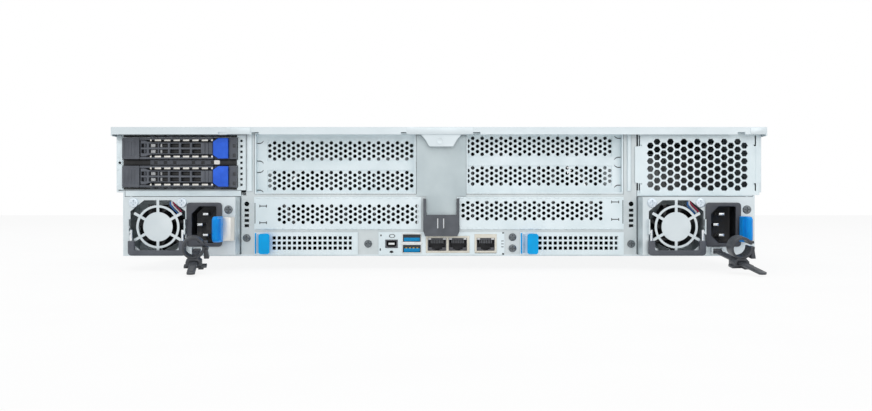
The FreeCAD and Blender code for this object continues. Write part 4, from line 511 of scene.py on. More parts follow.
def perforated(name, corner, pitch, cells, edges, radius):
    # round holes at every other crossing of the grid, so that the columns are staggered
    plate = addGrid(name, corner, pitch, cells)

    def crossing(spot):
        column, row = (spot.x - corner[0]) / pitch[0], (spot.z - corner[2]) / pitch[1]
        near = abs(column - round(column)) < 0.05 and abs(row - round(row)) < 0.05
        inside = 0 < round(column) < cells[0] and 0 < round(row) < cells[1]
        return near and inside and (round(column) + round(row)) % 2 == 1

    def inHole(spot, facing):
        # the bevel fills each round with small faces, which all lie within its radius
        column, row = (spot.x - corner[0]) // pitch[0], (spot.z - corner[2]) // pitch[1]
        for across in (column, column + 1):
            for up in (row, row + 1):
                middle = Vector((corner[0] + across * pitch[0], spot.y, corner[2] + up * pitch[1]))
                if crossing(middle) and (middle - spot).length < radius * 0.98:
                    return True
        return False

    pick(plate, "VERT", crossing)
    # this profile makes a bevelled corner of four edges round
    bpy.ops.mesh.bevel(offset=radius / 1000, segments=3, affect="VERTICES", profile=0.086)
    putDown()
    cutFaces(plate, inHole)
    stretchTo(plate, corner, pitch, cells, edges)
    return plate


slotPlates = {"cells": (32, 8), "pitch": (3.237, 1.825), "holeRadius": 1.28, "sheet": 0.8,
              "long": 107, "tall": 15.2, "fold": 8, "face": -383,
              "leftMiddle": -67.3, "rightMiddle": 68.5, "leftRows": (51.4, 71.72),
              "rightRows": (54.6, 74.92)}
lowPlates = {"cells": (31, 8), "pitch": (3.22, 1.825), "holeRadius": 1.28, "sheet": 1,
             "inner": 12, "outer": 125.4, "bottom": 18.1, "top": 40.1, "face": -391,
             "leftStart": -111.5, "leftMiddle": 28.4, "rightStart": 13.2, "rightMiddle": 30.9,
             "fingers": 19, "fingerStart": 1.2, "fingerPitch": 5.9, "fingerWide": 3.6,
             "fingerTall": 0.9, "fingerOut": 0.3, "fingerIn": 0.5, "fingerEdge": 1}


def makeSlotCovers():
    size = slotPlates
    cells, pitch = size["cells"], size["pitch"]
    field = (cells[0] * pitch[0], cells[1] * pitch[1])
    plates = []
    for side, middle, rows in ((1, size["leftMiddle"], size["leftRows"]),
                               (-1, size["rightMiddle"], size["rightRows"])):
        height = rows[0]
        corner = (middle - field[0] / 2, size["face"], height - field[1] / 2)
        edges = (middle - size["long"] / 2, height - size["tall"] / 2,
                 middle + size["long"] / 2, height + size["tall"] / 2)
        plate = perforated("slotCover", corner, pitch, cells, edges, size["holeRadius"])
        fold = middle + side * size["long"] / 2
        pick(plate, "EDGE", lambda spot, way: abs(spot.x - fold) < 0.05 and abs(way.z) > 0.9)
        bpy.ops.mesh.extrude_region_move(TRANSFORM_OT_translate={"value": at(0, size["fold"], 0)})
        putDown()
        thicken(plate, size["sheet"])
        plates.append(plate)
        plates.append(copied(plate, "slotCover", (0, 0, rows[1] - rows[0])))
    size = lowPlates
    cells, pitch, face = size["cells"], size["pitch"], size["face"]
    for start, middle, left, right in (
            (size["leftStart"], size["leftMiddle"], -size["outer"], -size["inner"]),
            (size["rightStart"], size["rightMiddle"], size["inner"], size["outer"])):
        corner = (start, face, middle - cells[1] * pitch[1] / 2)
        plate = perforated("lowCover", corner, pitch, cells,
                           (left, size["bottom"], right, size["top"]), size["holeRadius"])
        thicken(plate, size["sheet"])
        plates.append(plate)
        # shielding fingers along the upper and lower edge, pressed out of the sheet
        first, low = left + size["fingerStart"], size["top"] - size["fingerEdge"]
        finger = addBlock("finger", (first, face - size["fingerOut"], low),
                          (first + size["fingerWide"], face + size["fingerIn"],
                           low + size["fingerTall"]))
        soften(finger, 0.25)
        repeated(finger, size["fingers"], (size["fingerPitch"], 0, 0))
        plates.append(finger)
        plates.append(copied(finger, "finger", (0, 0, size["bottom"] - low + 0.1)))
    finishPiece(joined("slotCovers", plates), steelPanel, "chassis", "zinc_plated_steel",
                "slot_covers")


ventPlate = {"left": 135.2, "right": 217.5, "face": -391, "bottom": 41.4, "top": 84,
             "foldLow": 44.8, "foldEnd": -376.8, "foldPlaces": (1.4, -4.4), "sheet": 1,
             "pitch": (4.555, 5.26), "holeAcross": 4.7, "firstColumn": 8.3, "firstRow": 4.6,
             "earLow": 49.6, "earHigh": 74.4, "earRound": 0.9,
             "leftEar": (-2.2, 0.6), "rightEar": (-2.4, 0.9),
             "leftSlits": (((0.5, 74.6), (1.3, 81.8)), ((1.2, 74.6), (2.6, 75.6)),
                           ((0.5, 42.2), (1.3, 49.4)), ((1.2, 48.5), (2.6, 49.4))),
             "rightSlits": (((-3.2, 74.6), (-2.3, 81.8)), ((-4.5, 74.6), (-3.1, 75.6)),
                            ((-3.2, 44.2), (-2.3, 49.4)), ((-4.5, 48.5), (-3.1, 49.4)))}


def makeVentPanel():
    size = ventPlate
    left, right, face = size["left"], size["right"], size["face"]
    panel = addBlock("ventPanel", (left, face, size["bottom"]),
                     (right, face + size["sheet"], size["top"]))
    x, z = left + size["firstColumn"], size["bottom"] + size["firstRow"]
    columns, rows = size["pitch"]
    # the staggered field is two plain ones, of 8 by 6 and 7 by 7 hexagons
    for start, height, across, up in ((x, z + rows / 2, 8, 6), (x + columns, z, 7, 7)):
        middle = (start, face + 0.5, height)
        hexagon = addRod("hexagon", middle, size["holeAcross"] / 2, 4, sides=6)
        wakeOnly(hexagon)
        bpy.ops.object.mode_set(mode="EDIT")
        bpy.ops.mesh.select_all(action="SELECT")
        bpy.ops.transform.rotate(value=math.radians(30), orient_axis="Y",
                                 center_override=at(*middle))
        putDown()
        repeated(hexagon, across, (2 * columns, 0, 0))
        repeated(hexagon, up, (0, 0, rows))
        cutAway(panel, [hexagon])
    for edge, slits in ((left, size["leftSlits"]), (right, size["rightSlits"])):
        for low, high in slits:
            cutAway(panel, [addBlock("slit", (edge + low[0], face - 1, low[1]),
                                     (edge + high[0], face + 2, high[1]))])
    folds = [addBlock("fold", (x, face + 0.9, size["foldLow"]),
                      (x + size["sheet"], size["foldEnd"], size["top"]))
             for x in (left + size["foldPlaces"][0], right + size["foldPlaces"][1])]
    ears = [addBlock("ear", (edge + ear[0], face - 0.25, size["earLow"]),
                     (edge + ear[1], face + 0.75, size["earHigh"]))
            for edge, ear in ((left, size["leftEar"]), (right, size["rightEar"]))]
    for ear in ears:
        bevelEdges(ear, runsDeep, size["earRound"], 3)
    finishPiece(joined("ventPanel", [panel] + folds + ears), steelPanel, "chassis",
                "zinc_plated_steel", "vent_panel")


cardCover = {"start": 55, "long": 70.4, "low": 0.8, "tall": 15.4, "sheet": 1, "face": -391.3,
             "cells": (16, 3), "pitch": 3.45, "web": 0.625, "field": (11.875, 3.675),
             "rails": (3.3, 66.1), "railLow": 4, "railTall": 9, "railEnd": -345.3, "railCut": 3,
             "strip": ((0.5, 1.6), (1.5, 15.6)), "stripOut": 0.5,
             "pipe": ((1.9, 2), (3.6, 15)), "pipeOut": 0.35}


def makeCardCovers():
    size = cardCover
    face, end = size["face"], size["railEnd"]
    pitch, cells = (size["pitch"], size["pitch"]), size["cells"]
    for side, left in (("left", -size["start"] - size["long"]), ("right", size["start"])):
        body = "card_cover_" + side
        corner = (left + size["field"][0], face, size["field"][1])
        plate = addGrid("cardCover" + side.capitalize(), corner, pitch, cells)
        insetFaces(plate, lambda spot, facing: True, size["web"], single=True)
        cutFaces(plate, lambda spot, facing: all(
            abs((value - start) / size["pitch"] % 1 - 0.5) < 0.05
            for value, start in ((spot.x, corner[0]), (spot.z, corner[2]))))
        stretchTo(plate, corner, pitch, cells, (left, size["low"], left + size["long"],
                                                size["low"] + size["tall"]))
        thicken(plate, size["sheet"])
        rails = [addBlock("rail", (left + start, face + size["sheet"] - 0.2, size["railLow"]),
                          (left + start + 1, end, size["railLow"] + size["railTall"]))
                 for start in size["rails"]]
        for rail in rails:
            bevelEdges(rail, lambda spot, way: spot.y > end - 0.1 and abs(way.x) > 0.9,
                       size["railCut"])
        finishPiece(joined(plate.name, [plate] + rails), steelPanel, body, "zinc_plated_steel",
                    body)
        for name, (low, high), out, rounding, material in (
                ("cardEdge", size["strip"], size["stripOut"], 0.2, tabBlue),
                ("cardPipe", size["pipe"], size["pipeOut"], 0.3, edgeTint)):
            strip = addBlock(name + side.capitalize(), (left + low[0], face - out, low[1]),
                             (left + high[0], face + 0.2, high[1]))
            soften(strip, rounding)
            finishPiece(strip, material, body, "blue_plastic")


screwLook = {"head": 2.6, "tall": 1.5, "recess": 0.6, "wall": -390,
             "spots": ((-48.1, 8.3), (50, 12.8), (50, 5.2), (-130.6, 12.2), (130.6, 8.2))}


def makeScrew(name, place, radius, tall):
    # a pan head with a cross recess, seen from the rear
    x, y, z = place
    head = addRod(name, (x, y - tall / 2 + 0.1, z), radius, tall + 0.2, sides=28)
    bevelEdges(head, lambda spot, way: spot.y < y - tall + 0.05, tall * 0.55, 3)
    reach, wide = radius * 0.62, screwLook["recess"] / 2
    for across, up in ((reach, wide), (wide, reach)):
        cutter = addBlock("slot", (x - across, y - tall - 1, z - up),
                          (x + across, y - tall + 0.9, z + up))
        # the floor of the recess slopes up to both ends
        bevelEdges(cutter, lambda spot, way: spot.y > y - tall
                   and abs(way.z if across > up else way.x) > 0.9, reach / 2, 1)
        cutAway(head, [cutter])
    return head


def makeRearScrews():
    size = screwLook
    (x, z), others = size["spots"][0], size["spots"][1:]
    screws = [makeScrew("rearScrews", (x, size["wall"], z), size["head"], size["tall"])]
    screws += [copied(screws[0], "rearScrew", (right - x, 0, up - z)) for right, up in others]
    finishPiece(joined("rearScrews", screws), darkScrew, "chassis", "bright_steel")


supplyPlace = {"corner": (-208.5, -410, 1.6), "apart": 343.5}


def inSupply(x, y, z):
    # a place on the left power supply, measured from the lower left corner of its face
    left, rear, bottom = supplyPlace["corner"]
    return (x + left, y + rear, z + bottom)


def supplyBlock(name, low, high):
    return addBlock(name, inSupply(*low), inSupply(*high))


def onBothSupplies(piece, material, body, slot, node=None):
    twin = copied(piece, piece.name.replace("Left", "Right"), (supplyPlace["apart"], 0, 0))
    for part, side in ((piece, "left"), (twin, "right")):
        finishPiece(part, material, body % side, slot, *([node % side] if node else []))


inletShape = {"start": 41.4, "low": 5.4, "wide": 23.4, "tall": 29.2, "out": 1.8, "round": 2.2,
              "step": 1.5, "body": 26, "bodyFront": -0.6, "mouthStart": 44.95, "mouthLow": 7.9,
              "mouthWide": 16.3, "mouthTall": 24.2, "mouthDeep": 17, "cut": 4.9,
              "pinThick": 2, "pinWide": 4, "pinOut": 12, "pinSpread": 7, "pinOffset": 3.8}


def inletMouth(deep):
    size = inletShape
    x, z = size["mouthStart"], size["mouthLow"]
    mouth = supplyBlock("mouth", (x, -4, z), (x + size["mouthWide"], deep, z + size["mouthTall"]))
    left = inSupply(x, 0, 0)[0]
    bevelEdges(mouth, lambda spot, way: abs(way.y) > 0.9 and spot.x < left + 0.1, size["cut"], 1)
    bevelEdges(mouth, lambda spot, way: abs(way.y) > 0.9 and spot.x > left + 5, 1, 3)
    return mouth


def makeSupplyInlets():
    size = inletShape
    x, z, step, deep = size["start"], size["low"], size["step"], size["mouthDeep"] - size["out"]
    bezel = supplyBlock("psuBezelLeft", (x, -size["out"], z),
                        (x + size["wide"], 0, z + size["tall"]))
    bevelEdges(bezel, runsDeep, size["round"], 4)
    cutAway(bezel, [inletMouth(2)])
    soften(bezel, 0.35)
    onBothSupplies(bezel, inletPlastic, "psu_%s", "dark_plastic", "psu_inlet_%s")
    block = supplyBlock("psuInletBlockLeft", (x + step, size["bodyFront"], z + step),
                        (x + size["wide"] - step, size["body"], z + size["tall"] - step))
    cutAway(block, [inletMouth(deep)])
    soften(block, 0.3)
    onBothSupplies(block, blackNylonAndShade, "psu_%s", "black_plastic")
    across = size["mouthStart"] + size["mouthWide"] / 2
    up = size["mouthLow"] + size["mouthTall"] / 2
    wide, tall, tip = size["pinWide"] / 2, size["pinThick"] / 2, deep - size["pinOut"]
    front = inSupply(0, tip, 0)[1]
    pins = [supplyBlock("psuPinsLeft", (across + shift - wide, tip, up + height - tall),
                        (across + shift + wide, deep + 1, up + height + tall))
            for shift, height in ((0, size["pinSpread"]), (0, -size["pinSpread"]),
                                  (-size["pinOffset"], 0))]
    for pin in pins:
        bevelEdges(pin, lambda spot, way: spot.y < front + 0.1, 0.6, 2)
    onBothSupplies(joined("psuPinsLeft", pins), nickel, "psu_%s", "bright_steel")


handleShape = {"middle": 22.2, "wide": 37.8, "arm": 4.2, "bar": 3.5, "thick": 3.4, "cut": 2.4,
               "low": -0.4, "sleeve": 9.4, "rodPlace": 17, "rod": 0.9, "rodSunk": 2,
               "axis": 2.8, "height": 18.6, "bend": 2}


def makeSupplyHandles():
    size = handleShape
    front, back = -size["axis"] - size["thick"] / 2, -size["axis"] + size["thick"] / 2
    half = size["wide"] / 2
    bar = supplyBlock("psuHandleLeft", (size["middle"] - half, front, size["low"]),
                      (size["middle"] + half, back, size["low"] + size["bar"]))
    middle, bottom = inSupply(size["middle"], 0, 0)[0], inSupply(0, 0, size["low"])[2]
    armStart = half - size["arm"]
    # the bar's top is parted at the arms, and its two end parts are pulled up into sleeves
    wakeOnly(bar)
    for place in (middle - armStart, middle + armStart):
        bpy.ops.object.mode_set(mode="EDIT")
        bpy.ops.mesh.select_all(action="SELECT")
        bpy.ops.mesh.bisect(plane_co=at(place, 0, 0), plane_no=(1, 0, 0))
        putDown()
    pushFaces(bar, lambda spot, facing: facing.z > 0.9 and abs(spot.x - middle) > armStart,
              (0, 0, size["sleeve"] - size["low"] - size["bar"]))
    bevelEdges(bar, lambda spot, way: abs(way.y) > 0.9 and spot.z < bottom + 0.1
               and abs(spot.x - middle) > half - 0.2, size["cut"], 4)
    soften(bar, 0.6, 3)
    onBothSupplies(bar, trayPlastic, "psu_handle_%s", "dark_plastic", "psu_handle_%s")
    rods = []
    bend = size["bend"]
    low, high = size["sleeve"] - size["rodSunk"], size["height"] - bend
    top = inSupply(0, 0, high)[2]
    for side in (-1, 1):
        x = size["middle"] + side * size["rodPlace"]
        rod = addRod("psuHandleRodsLeft", inSupply(x, -size["axis"], (low + high) / 2),
                     size["rod"], high - low, axis="z", sides=16)
        pick(rod, "FACE", lambda spot, facing: facing.z > 0.9 and spot.z > top - 0.1)
        bpy.ops.mesh.spin(steps=6, angle=math.radians(90) * side,
                          center=at(*inSupply(x + side * bend, -size["axis"], high)),
                          axis=(0, 1, 0))
        putDown()
        pushFaces(rod, lambda spot, facing: facing.x * side > 0.9
                  and spot.z > top + bend - 0.3, (side * 0.2, 0, 0))
        rods.append(rod)
    onBothSupplies(joined("psuHandleRodsLeft", rods), nickel, "psu_handle_%s", "bright_steel")


latchShape = {"root": 72.4, "low": 8.8, "tall": 16.8, "margin": 0.6, "sheet": 0.8, "out": 6.6,
              "leafFront": -2.2, "leafBack": -0.3, "lean": (-2.4, -2.2, 0),
              "reach": (-0.01, -2.19, 0), "grip": 62.7, "gripThick": 3.7, "gripOut": 26,
              "gripBend": 20, "gripTip": 1.6, "ribs": 5, "ribStart": -23.5, "ribPitch": 2,
              "ribThick": 0.6, "ribOut": 0.3, "ribMargin": 1.5}


def makeSupplyLatches():
    size = latchShape
    low, high, grip, out = size["low"], size["low"] + size["tall"], size["grip"], size["out"]
    leafLow, leafHigh = low + size["margin"], high - size["margin"]
    leaf = supplyBlock("psuLeafLeft", (size["root"], size["leafFront"], leafLow),
                       (size["root"] + size["sheet"], size["leafBack"], leafHigh))
    front = inSupply(0, size["leafFront"], 0)[1]
    pushFaces(leaf, facesRear, size["lean"])
    pushFaces(leaf, lambda spot, facing: facing.y < -0.9 or (facing.x < -0.5
              and front - 3 < spot.y < front - 1.5), size["reach"])
    flange = supplyBlock("flange", (grip + 0.4, -out, leafLow),
                         (size["root"] - 0.7, -out + size["sheet"], leafHigh))
    bevelEdges(flange, runsDeep, 1, 3)
    leaf = joined(leaf.name, [leaf, flange])
    soften(leaf, 0.2)
    onBothSupplies(leaf, springSteel, "psu_latch_%s", "bright_steel", "psu_latch_%s")
    tip, side = size["gripTip"], grip + size["gripThick"]
    blade = supplyBlock("psuGripLeft", (grip, -size["gripBend"], low), (side, -out + tip, high))
    end = inSupply(0, -size["gripBend"], 0)[1]
    pushFaces(blade, lambda spot, facing: facing.y < -0.9 and spot.y < end + 0.1,
              (0, size["gripBend"] - size["gripOut"] + tip, 0), (0.86, 1, 0.94))
    pushFaces(blade, facesRear, (0, -tip, 0), (0.5, 1, 0.8))
    soften(blade, 0.5, 3)
    ribs = []
    for index in range(size["ribs"]):
        start = size["ribStart"] + size["ribPitch"] * index
        ribs.append(supplyBlock("rib", (grip - size["ribOut"], start, low + size["ribMargin"]),
                                (side + size["ribOut"], start + size["ribThick"],
                                 high - size["ribMargin"])))
    onBothSupplies(joined(blade.name, [blade] + softened(ribs, 0.25)), gripBlue, "psu_latch_%s",
                   "blue_plastic")


strapShape = {"pivot": (48.6, -2.6, 2.5), "wide": 5, "thick": 1.5, "long": 74, "drift": 11,
              "droop": 8.5, "barrel": 1.7, "pin": 0.8, "half": 3.8, "tip": 1.7,
              "teeth": 34, "toothPitch": 1.9, "toothHalf": 1.5}


def makeSupplyStraps():
    size = strapShape
    wide, thick, end = size["wide"] / 2, size["thick"] / 2, -size["long"]
    blade = addBlock("psuStrapLeft", (-wide, end + size["tip"], -thick), (wide, 0, thick))
    pushFaces(blade, facesRear, (0, -size["tip"], 0), (0.4, 1, 0.8))
    soften(blade, 0.25)
    tooth = addBlock("tooth", (-size["toothHalf"], end + 5, thick - 0.1),
                     (size["toothHalf"], end + 6, thick + 0.25))
    moveCorners(tooth, lambda spot: spot.z > thick and spot.y < end + 5.5, (0, 0.7, 0))
    repeated(tooth, size["teeth"], (0, size["toothPitch"], 0))
    blade = joined(blade.name, [blade, tooth])
    wakeOnly(blade)
    blade.rotation_euler.z = math.atan(size["drift"] / size["long"])
    bpy.ops.object.transform_apply(rotation=True)
    barrel = addRod("barrel", (0, 0, 0), size["barrel"], size["wide"], axis="x", sides=24)
    pin = addRod("pin", (0, 0, 0), size["pin"], 2 * size["half"] + 0.3, axis="x", sides=16)
    bevelEdges(barrel, lambda spot, way: abs(way.x) < 0.1, 0.25, 2)
    blade = joined(blade.name, [blade, barrel, pin])
    placed(blade, inSupply(*size["pivot"]), (size["droop"], 0, 0))
    onBothSupplies(blade, clampNylon, "psu_strap_%s", "black_plastic", "psu_strap_%s")


clampShape = {"place": 36, "long": 9, "loop": 5.5, "band": 1.6, "block": 10, "tall": 6.4,
              "shoulder": 2.4, "slot": (2.8, 1.05), "sink": 0.9, "tab": 3}


def makeSupplyClamps():
    size, strap = clampShape, strapShape
    half, wide, tall = size["long"] / 2, size["block"] / 2, size["tall"] / 2
    loop, tab = size["loop"], size["loop"] + size["band"] / 2 + size["tab"]
    middle = tall + loop + size["band"] - size["sink"]
    slotWide, slotTall = size["slot"]
    base = addBlock("psuClampLeft", (-wide, -half, -tall), (wide, half, tall))
    bevelEdges(base, lambda spot, way: abs(way.y) > 0.9 and spot.z > 0, size["shoulder"], 1)
    cutAway(base, [addBlock("slot", (-slotWide, -half - 1, -slotTall),
                            (slotWide, half + 1, slotTall))])
    ring = addRod("ring", (0, 0, middle), loop + size["band"], size["long"], sides=48)
    cutAway(ring, [addRod("opening", (0, 0, middle), loop, size["long"] + 2, sides=48)])
    cutAway(ring, [addBlock("mouth", (2, -half - 1, middle + 0.6), (9, half + 1, middle + 2.2))])
    plate = addBlock("plate", (-wide - 1.2, -half, -tall),
                     (wide + size["tab"], half * 0.5, -tall + 1.6))
    lower = addBlock("tab", (loop + 0.8, -half / 2, middle - 1.6), (tab, half / 2, middle + 0.4))
    nose = addBlock("nose", (loop + 0.8, -half / 2, middle + 2.4),
                    (tab - 0.6, half / 2, middle + 4))
    buckle = addBlock("buckle", (loop + 0.9, -half * 0.8, 2.4),
                      (loop + 4.2, half * 0.8, middle - 1.2))
    moveCorners(buckle, lambda spot: spot.z > 3 and spot.x > loop + 3, (-1.2, 0, 0))
    wedge = addBlock("wedge", (-loop - 1.4, -half * 0.7, middle + 1),
                     (-loop + 1.6, half * 0.7, middle + 4.6))
    moveCorners(wedge, lambda spot: spot.z > middle + 2 and spot.x < -loop, (1.8, 0, 0))
    foot = addBlock("foot", (2.6, -half * 0.6, -tall - 1.4), (6, half * 0.4, -tall + 0.4))
    parts = softened([base, ring, plate, lower, nose, buckle, wedge, foot], 0.3)
    piece = joined("psuClampLeft", parts)
    slope = strap["drift"] / strap["long"]
    droop = math.radians(strap["droop"])
    x, y, z = inSupply(*strap["pivot"])
    placed(piece, (x + size["place"] * slope, y - size["place"] * math.cos(droop),
                   z - size["place"] * math.sin(droop)),
           (strap["droop"], 0, math.degrees(math.atan(slope))))
    onBothSupplies(piece, clampNylon, "psu_clamp_%s", "black_plastic", "psu_clamp_%s")


supplyTrim = {"screws": ((6.2, 34.4), (38.2, 34.4)), "head": 3.2, "headTall": 1.3,
              "darkScrew": (69, 30), "darkHead": 2.8, "darkTall": 0.9, "wire": 0.62,
              "wireGap": 0.945, "wireTop": (31.6, 2.2, 35.4), "wireLong": 2.4, "wireLow": 34.3,
              "wireSteps": ((0.9, 0.1, -1.4), (1.5, 0, -1.6), (1.6, 0, -1.5), (1.3, 0.3, -1.8))}


def makeSupplyTrim():
    size = supplyTrim
    (x, z), (otherX, otherZ) = size["screws"]
    head = makeScrew("psuScrewsLeft", inSupply(x, 0, z), size["head"], size["headTall"])
    twin = copied(head, "psuScrew", (otherX - x, 0, otherZ - z))
    onBothSupplies(joined("psuScrewsLeft", [head, twin]), panScrew, "psu_%s", "bright_steel")
    x, z = size["darkScrew"]
    dark = makeScrew("psuDarkScrewLeft", inSupply(x, 0, z), size["darkHead"], size["darkTall"])
    onBothSupplies(dark, darkScrew, "psu_%s", "bright_steel")
    # the four wires of the fan, side by side, drop behind the guard
    x, y, z = size["wireTop"]
    for index, (label, material) in enumerate((("Blue", wireBlue), ("White", blankLabel),
                                               ("Red", wireRed), ("Black", blackNylonAndShade))):
        shift = (index - 1.5) * size["wireGap"]
        wire = addRod("psuWire%sLeft" % label, inSupply(x + shift, y, z + shift), size["wire"],
                      size["wireLong"], axis="z", sides=12)
        low = inSupply(0, 0, size["wireLow"] + shift)[2]
        for step in size["wireSteps"]:
            pushFaces(wire, lambda spot, facing: facing.z < -0.5 and spot.z < low + 0.3, step)
            low += step[2]
        onBothSupplies(wire, material, "psu_%s", "dark_plastic")


trayLook = {"corner": (-214.7, -394, 46.7), "apart": 19, "pivot": 15.4, "pivotTall": 7.25,
            "pin": 0.95, "pinLong": 12.9, "start": 12.7, "end": 61.6, "taperStart": 14.9,
            "taperEnd": 20.2, "barLow": 3.25, "barHigh": 11.25, "barFront": 0.6, "barBack": 4.6,
            "fullLow": 1.8, "fullHigh": 12.7,
            "windows": ((13.2, 3.6), (18.3, 6.1), (25.1, 6.1), (32.55, 6.1), (40, 6.1),
                        (47.45, 6.1)), "windowTall": 2.7, "windowRows": (3.9, 7.9),
            "windowDeep": 3.9, "grooves": (56.2, 58.6), "grooveWide": 0.45, "grooveDeep": 1.1}


def inTray(x, y, z):
    # a place on the lower tray, measured from the lower left corner of its face
    left, rear, bottom = trayLook["corner"]
    return (x + left, y + rear, z + bottom)


def trayBlock(name, low, high):
    return addBlock(name, inTray(*low), inTray(*high))


def onBothTrays(piece, material, body, slot, node=None):
    twin = copied(piece, piece.name.replace("One", "Two"), (0, 0, trayLook["apart"]))
    for part, number in ((piece, 1), (twin, 2)):
        finishPiece(part, material, body % number, slot, *([node % number] if node else []))


def makeTrayLevers():
    size = trayLook
    x, tall = size["taperEnd"], size["windowTall"]
    bar = trayBlock("trayLeverOne", (x, size["barFront"], size["barLow"]),
                    (size["end"], size["barBack"], size["barHigh"]))
    edge = inTray(x, 0, 0)[0]
    grow = (size["fullHigh"] - size["fullLow"]) / (size["barHigh"] - size["barLow"])
    pushFaces(bar, lambda spot, facing: facing.x < -0.9, (size["taperStart"] - x, 0, 0),
              (1, 1, grow))
    pushFaces(bar, lambda spot, facing: facing.x < -0.9 and spot.x < edge - 1,
              (size["start"] - size["taperStart"], 0, 0))
    cutters = [trayBlock("window", (start, 0, low), (start + wide, size["windowDeep"], low + tall))
               for start, wide in size["windows"] for low in size["windowRows"]]
    cutters += [trayBlock("groove", (start, 0, size["barLow"] - 1),
                          (start + size["grooveWide"], size["grooveDeep"], size["barHigh"] + 1))
                for start in size["grooves"]]
    cutAway(bar, cutters)
    soften(bar, 0.2)
    middle = (size["barFront"] + size["barBack"]) / 2
    pin = addRod("pin", inTray(size["pivot"], middle, size["pivotTall"]), size["pin"],
                 size["pinLong"], axis="z", sides=16)
    bevelEdges(pin, lambda spot, way: abs(way.z) < 0.1, 0.2, 1)
    onBothTrays(joined(bar.name, [bar, pin]), barPlastic, "rear_lever_%d", "dark_plastic",
                "rear_lever_%d")
    # the floors of the windows are painted black as shade in the openings, and blank labels lie
    # behind the second and third pair
    windowShades = [trayBlock("floor", (start + 0.05, 3.4, low + 0.05),
                        (start + wide - 0.05, 3.95, low + tall - 0.05))
              for start, wide in size["windows"] for low in size["windowRows"]]
    onBothTrays(joined("trayFloorsOne", softened(windowShades, 0.1)), blackNylonAndShade, "rear_lever_%d",
                "black_plastic")
    labels = []
    for window, left, right, low, high in ((1, 1, 4, 0.3, 2.4), (2, 0.6, 1.8, 0.2, 2.5)):
        start = size["windows"][window][0]
        labels += [trayBlock("label", (start + left, 2.6, row + low),
                             (start + right, 3.6, row + high)) for row in size["windowRows"]]
    onBothTrays(joined("trayLabelOne", softened(labels, 0.15)), blankLabel, "rear_lever_%d",
                "dark_plastic")


trayButton = {"cap": ((65.8, -2, 0.3), (72.4, 0.2, 14.2)), "noseLong": 3.6, "noseTall": 9,
              "stem": ((62.8, 0, 1.8), (71.8, 3.2, 12.7)),
              "dimple": ((67.2, -2.15, 3), (71, -1.9, 11.4))}


def makeTrayButtons():
    size = trayButton
    cap = trayBlock("trayButtonOne", *size["cap"])
    tall = size["cap"][1][2] - size["cap"][0][2]
    pushFaces(cap, lambda spot, facing: facing.x < -0.9, (-size["noseLong"], 0, 0),
              (1, 1, size["noseTall"] / tall))
    soften(cap, 0.5, 3)
    stem = soften(trayBlock("stem", *size["stem"]), 0.3)
    dimple = soften(trayBlock("dimple", *size["dimple"]), 0.12)
    onBothTrays(joined(cap.name, [cap, stem, dimple]), latchBlue, "rear_button_%d",
                "blue_plastic", "rear_button_%d")


trayTrim = {"fingerStart": 22.5, "fingerWide": 4.3, "fingerPitch": 6.35, "fingers": 6,
            "endFingers": ((19.3, 20.4), (60.6, 61.9)), "fingerOut": 0.15, "fingerLow": 1.0,
            "fingerHigh": 2.3, "rowsApart": 11.1, "lights": (1.3, 7.8), "lightTall": 2.4,
            "ribs": 4, "ribStart": 1.2, "ribPitch": 2.3, "ribWide": 1}


def makeTrayTrim():
    size = trayTrim
    out, low, high = -size["fingerOut"], size["fingerLow"], size["fingerHigh"]
    start = size["fingerStart"]
    finger = trayBlock("trayFingersOne", (start, out, low), (start + size["fingerWide"], 0.4, high))
    soften(finger, 0.3)
    repeated(finger, size["fingers"], (size["fingerPitch"], 0, 0))
    ends = [trayBlock("endFinger", (left, out, low), (right, 0.4, high))
            for left, right in size["endFingers"]]
    row = joined("trayFingersOne", [finger] + softened(ends, 0.2))
    upper = copied(row, "fingersHigh", (0, 0, size["rowsApart"]))
    onBothTrays(joined("trayFingersOne", [row, upper]), springSteel, "rear_tray_%d",
                "bright_steel")
    lights = [trayBlock("light", (75.3, -0.2, low), (77.2, 0.6, low + size["lightTall"]))
              for low in size["lights"]]
    onBothTrays(joined("trayLightsOne", softened(lights, 0.2)), smokyPipe, "rear_tray_%d",
                "dark_plastic")
    ribs = []
    for index in range(size["ribs"]):
        start = size["ribStart"] + size["ribPitch"] * index
        ribs.append(trayBlock("rib", (start, -0.25, 2.2), (start + size["ribWide"], 0.5, 12.2)))
    onBothTrays(joined("trayRibsOne", softened(ribs, 0.25)), trayPlastic, "rear_tray_%d",
                "dark_plastic")


bayStrips = {"left": -214.3, "right": -137.2, "innerLeft": -195.8, "innerRight": -148.3,
             "windows": (-193.2, -186.7, -180.3, -167.6, -161.2, -154.7), "windowWide": 2.2,
             "rows": ((61.5, 65.4), (80.7, 82), (45, 46.3)), "inlay": 0.25,
             "clip": ((-152.5, -391.6, 62.2), (-148.6, -390.3, 65))}


def makeBayStrips():
    # the dark mouldings above, between and below the two trays; the dark grey strips are moulded,
    # while the black backing and its black windows are painted shade for the open gaps behind
    size = bayStrips
    black, grey = [], []
    for low, high in size["rows"]:
        black.append(addBlock("bayGapShade", (size["left"], -390.5, low),
                              (size["right"], -389.9, high)))
        grey.append(addBlock("bayStrip", (size["innerLeft"], -391.4, low + 0.3),
                             (size["innerRight"], -390.4, high - 0.2)))
        inlay = size["inlay"] * (high - low)
        black += [addBlock("window", (start, -391.6, low + inlay),
                           (start + size["windowWide"], -391.2, high - inlay))
                  for start in size["windows"]]
    finishPiece(joined("bayGapShade", softened(black, 0.12)), blackNylonAndShade, "chassis",
                "black_plastic")
    finishPiece(joined("bayStrip", softened(grey, 0.12)), trayPlastic, "chassis", "dark_plastic")
    clip = addBlock("bayClip", *size["clip"])
    bevelEdges(clip, runsDeep, 0.8, 3)
    finishPiece(clip, springSteel, "chassis", "bright_steel")


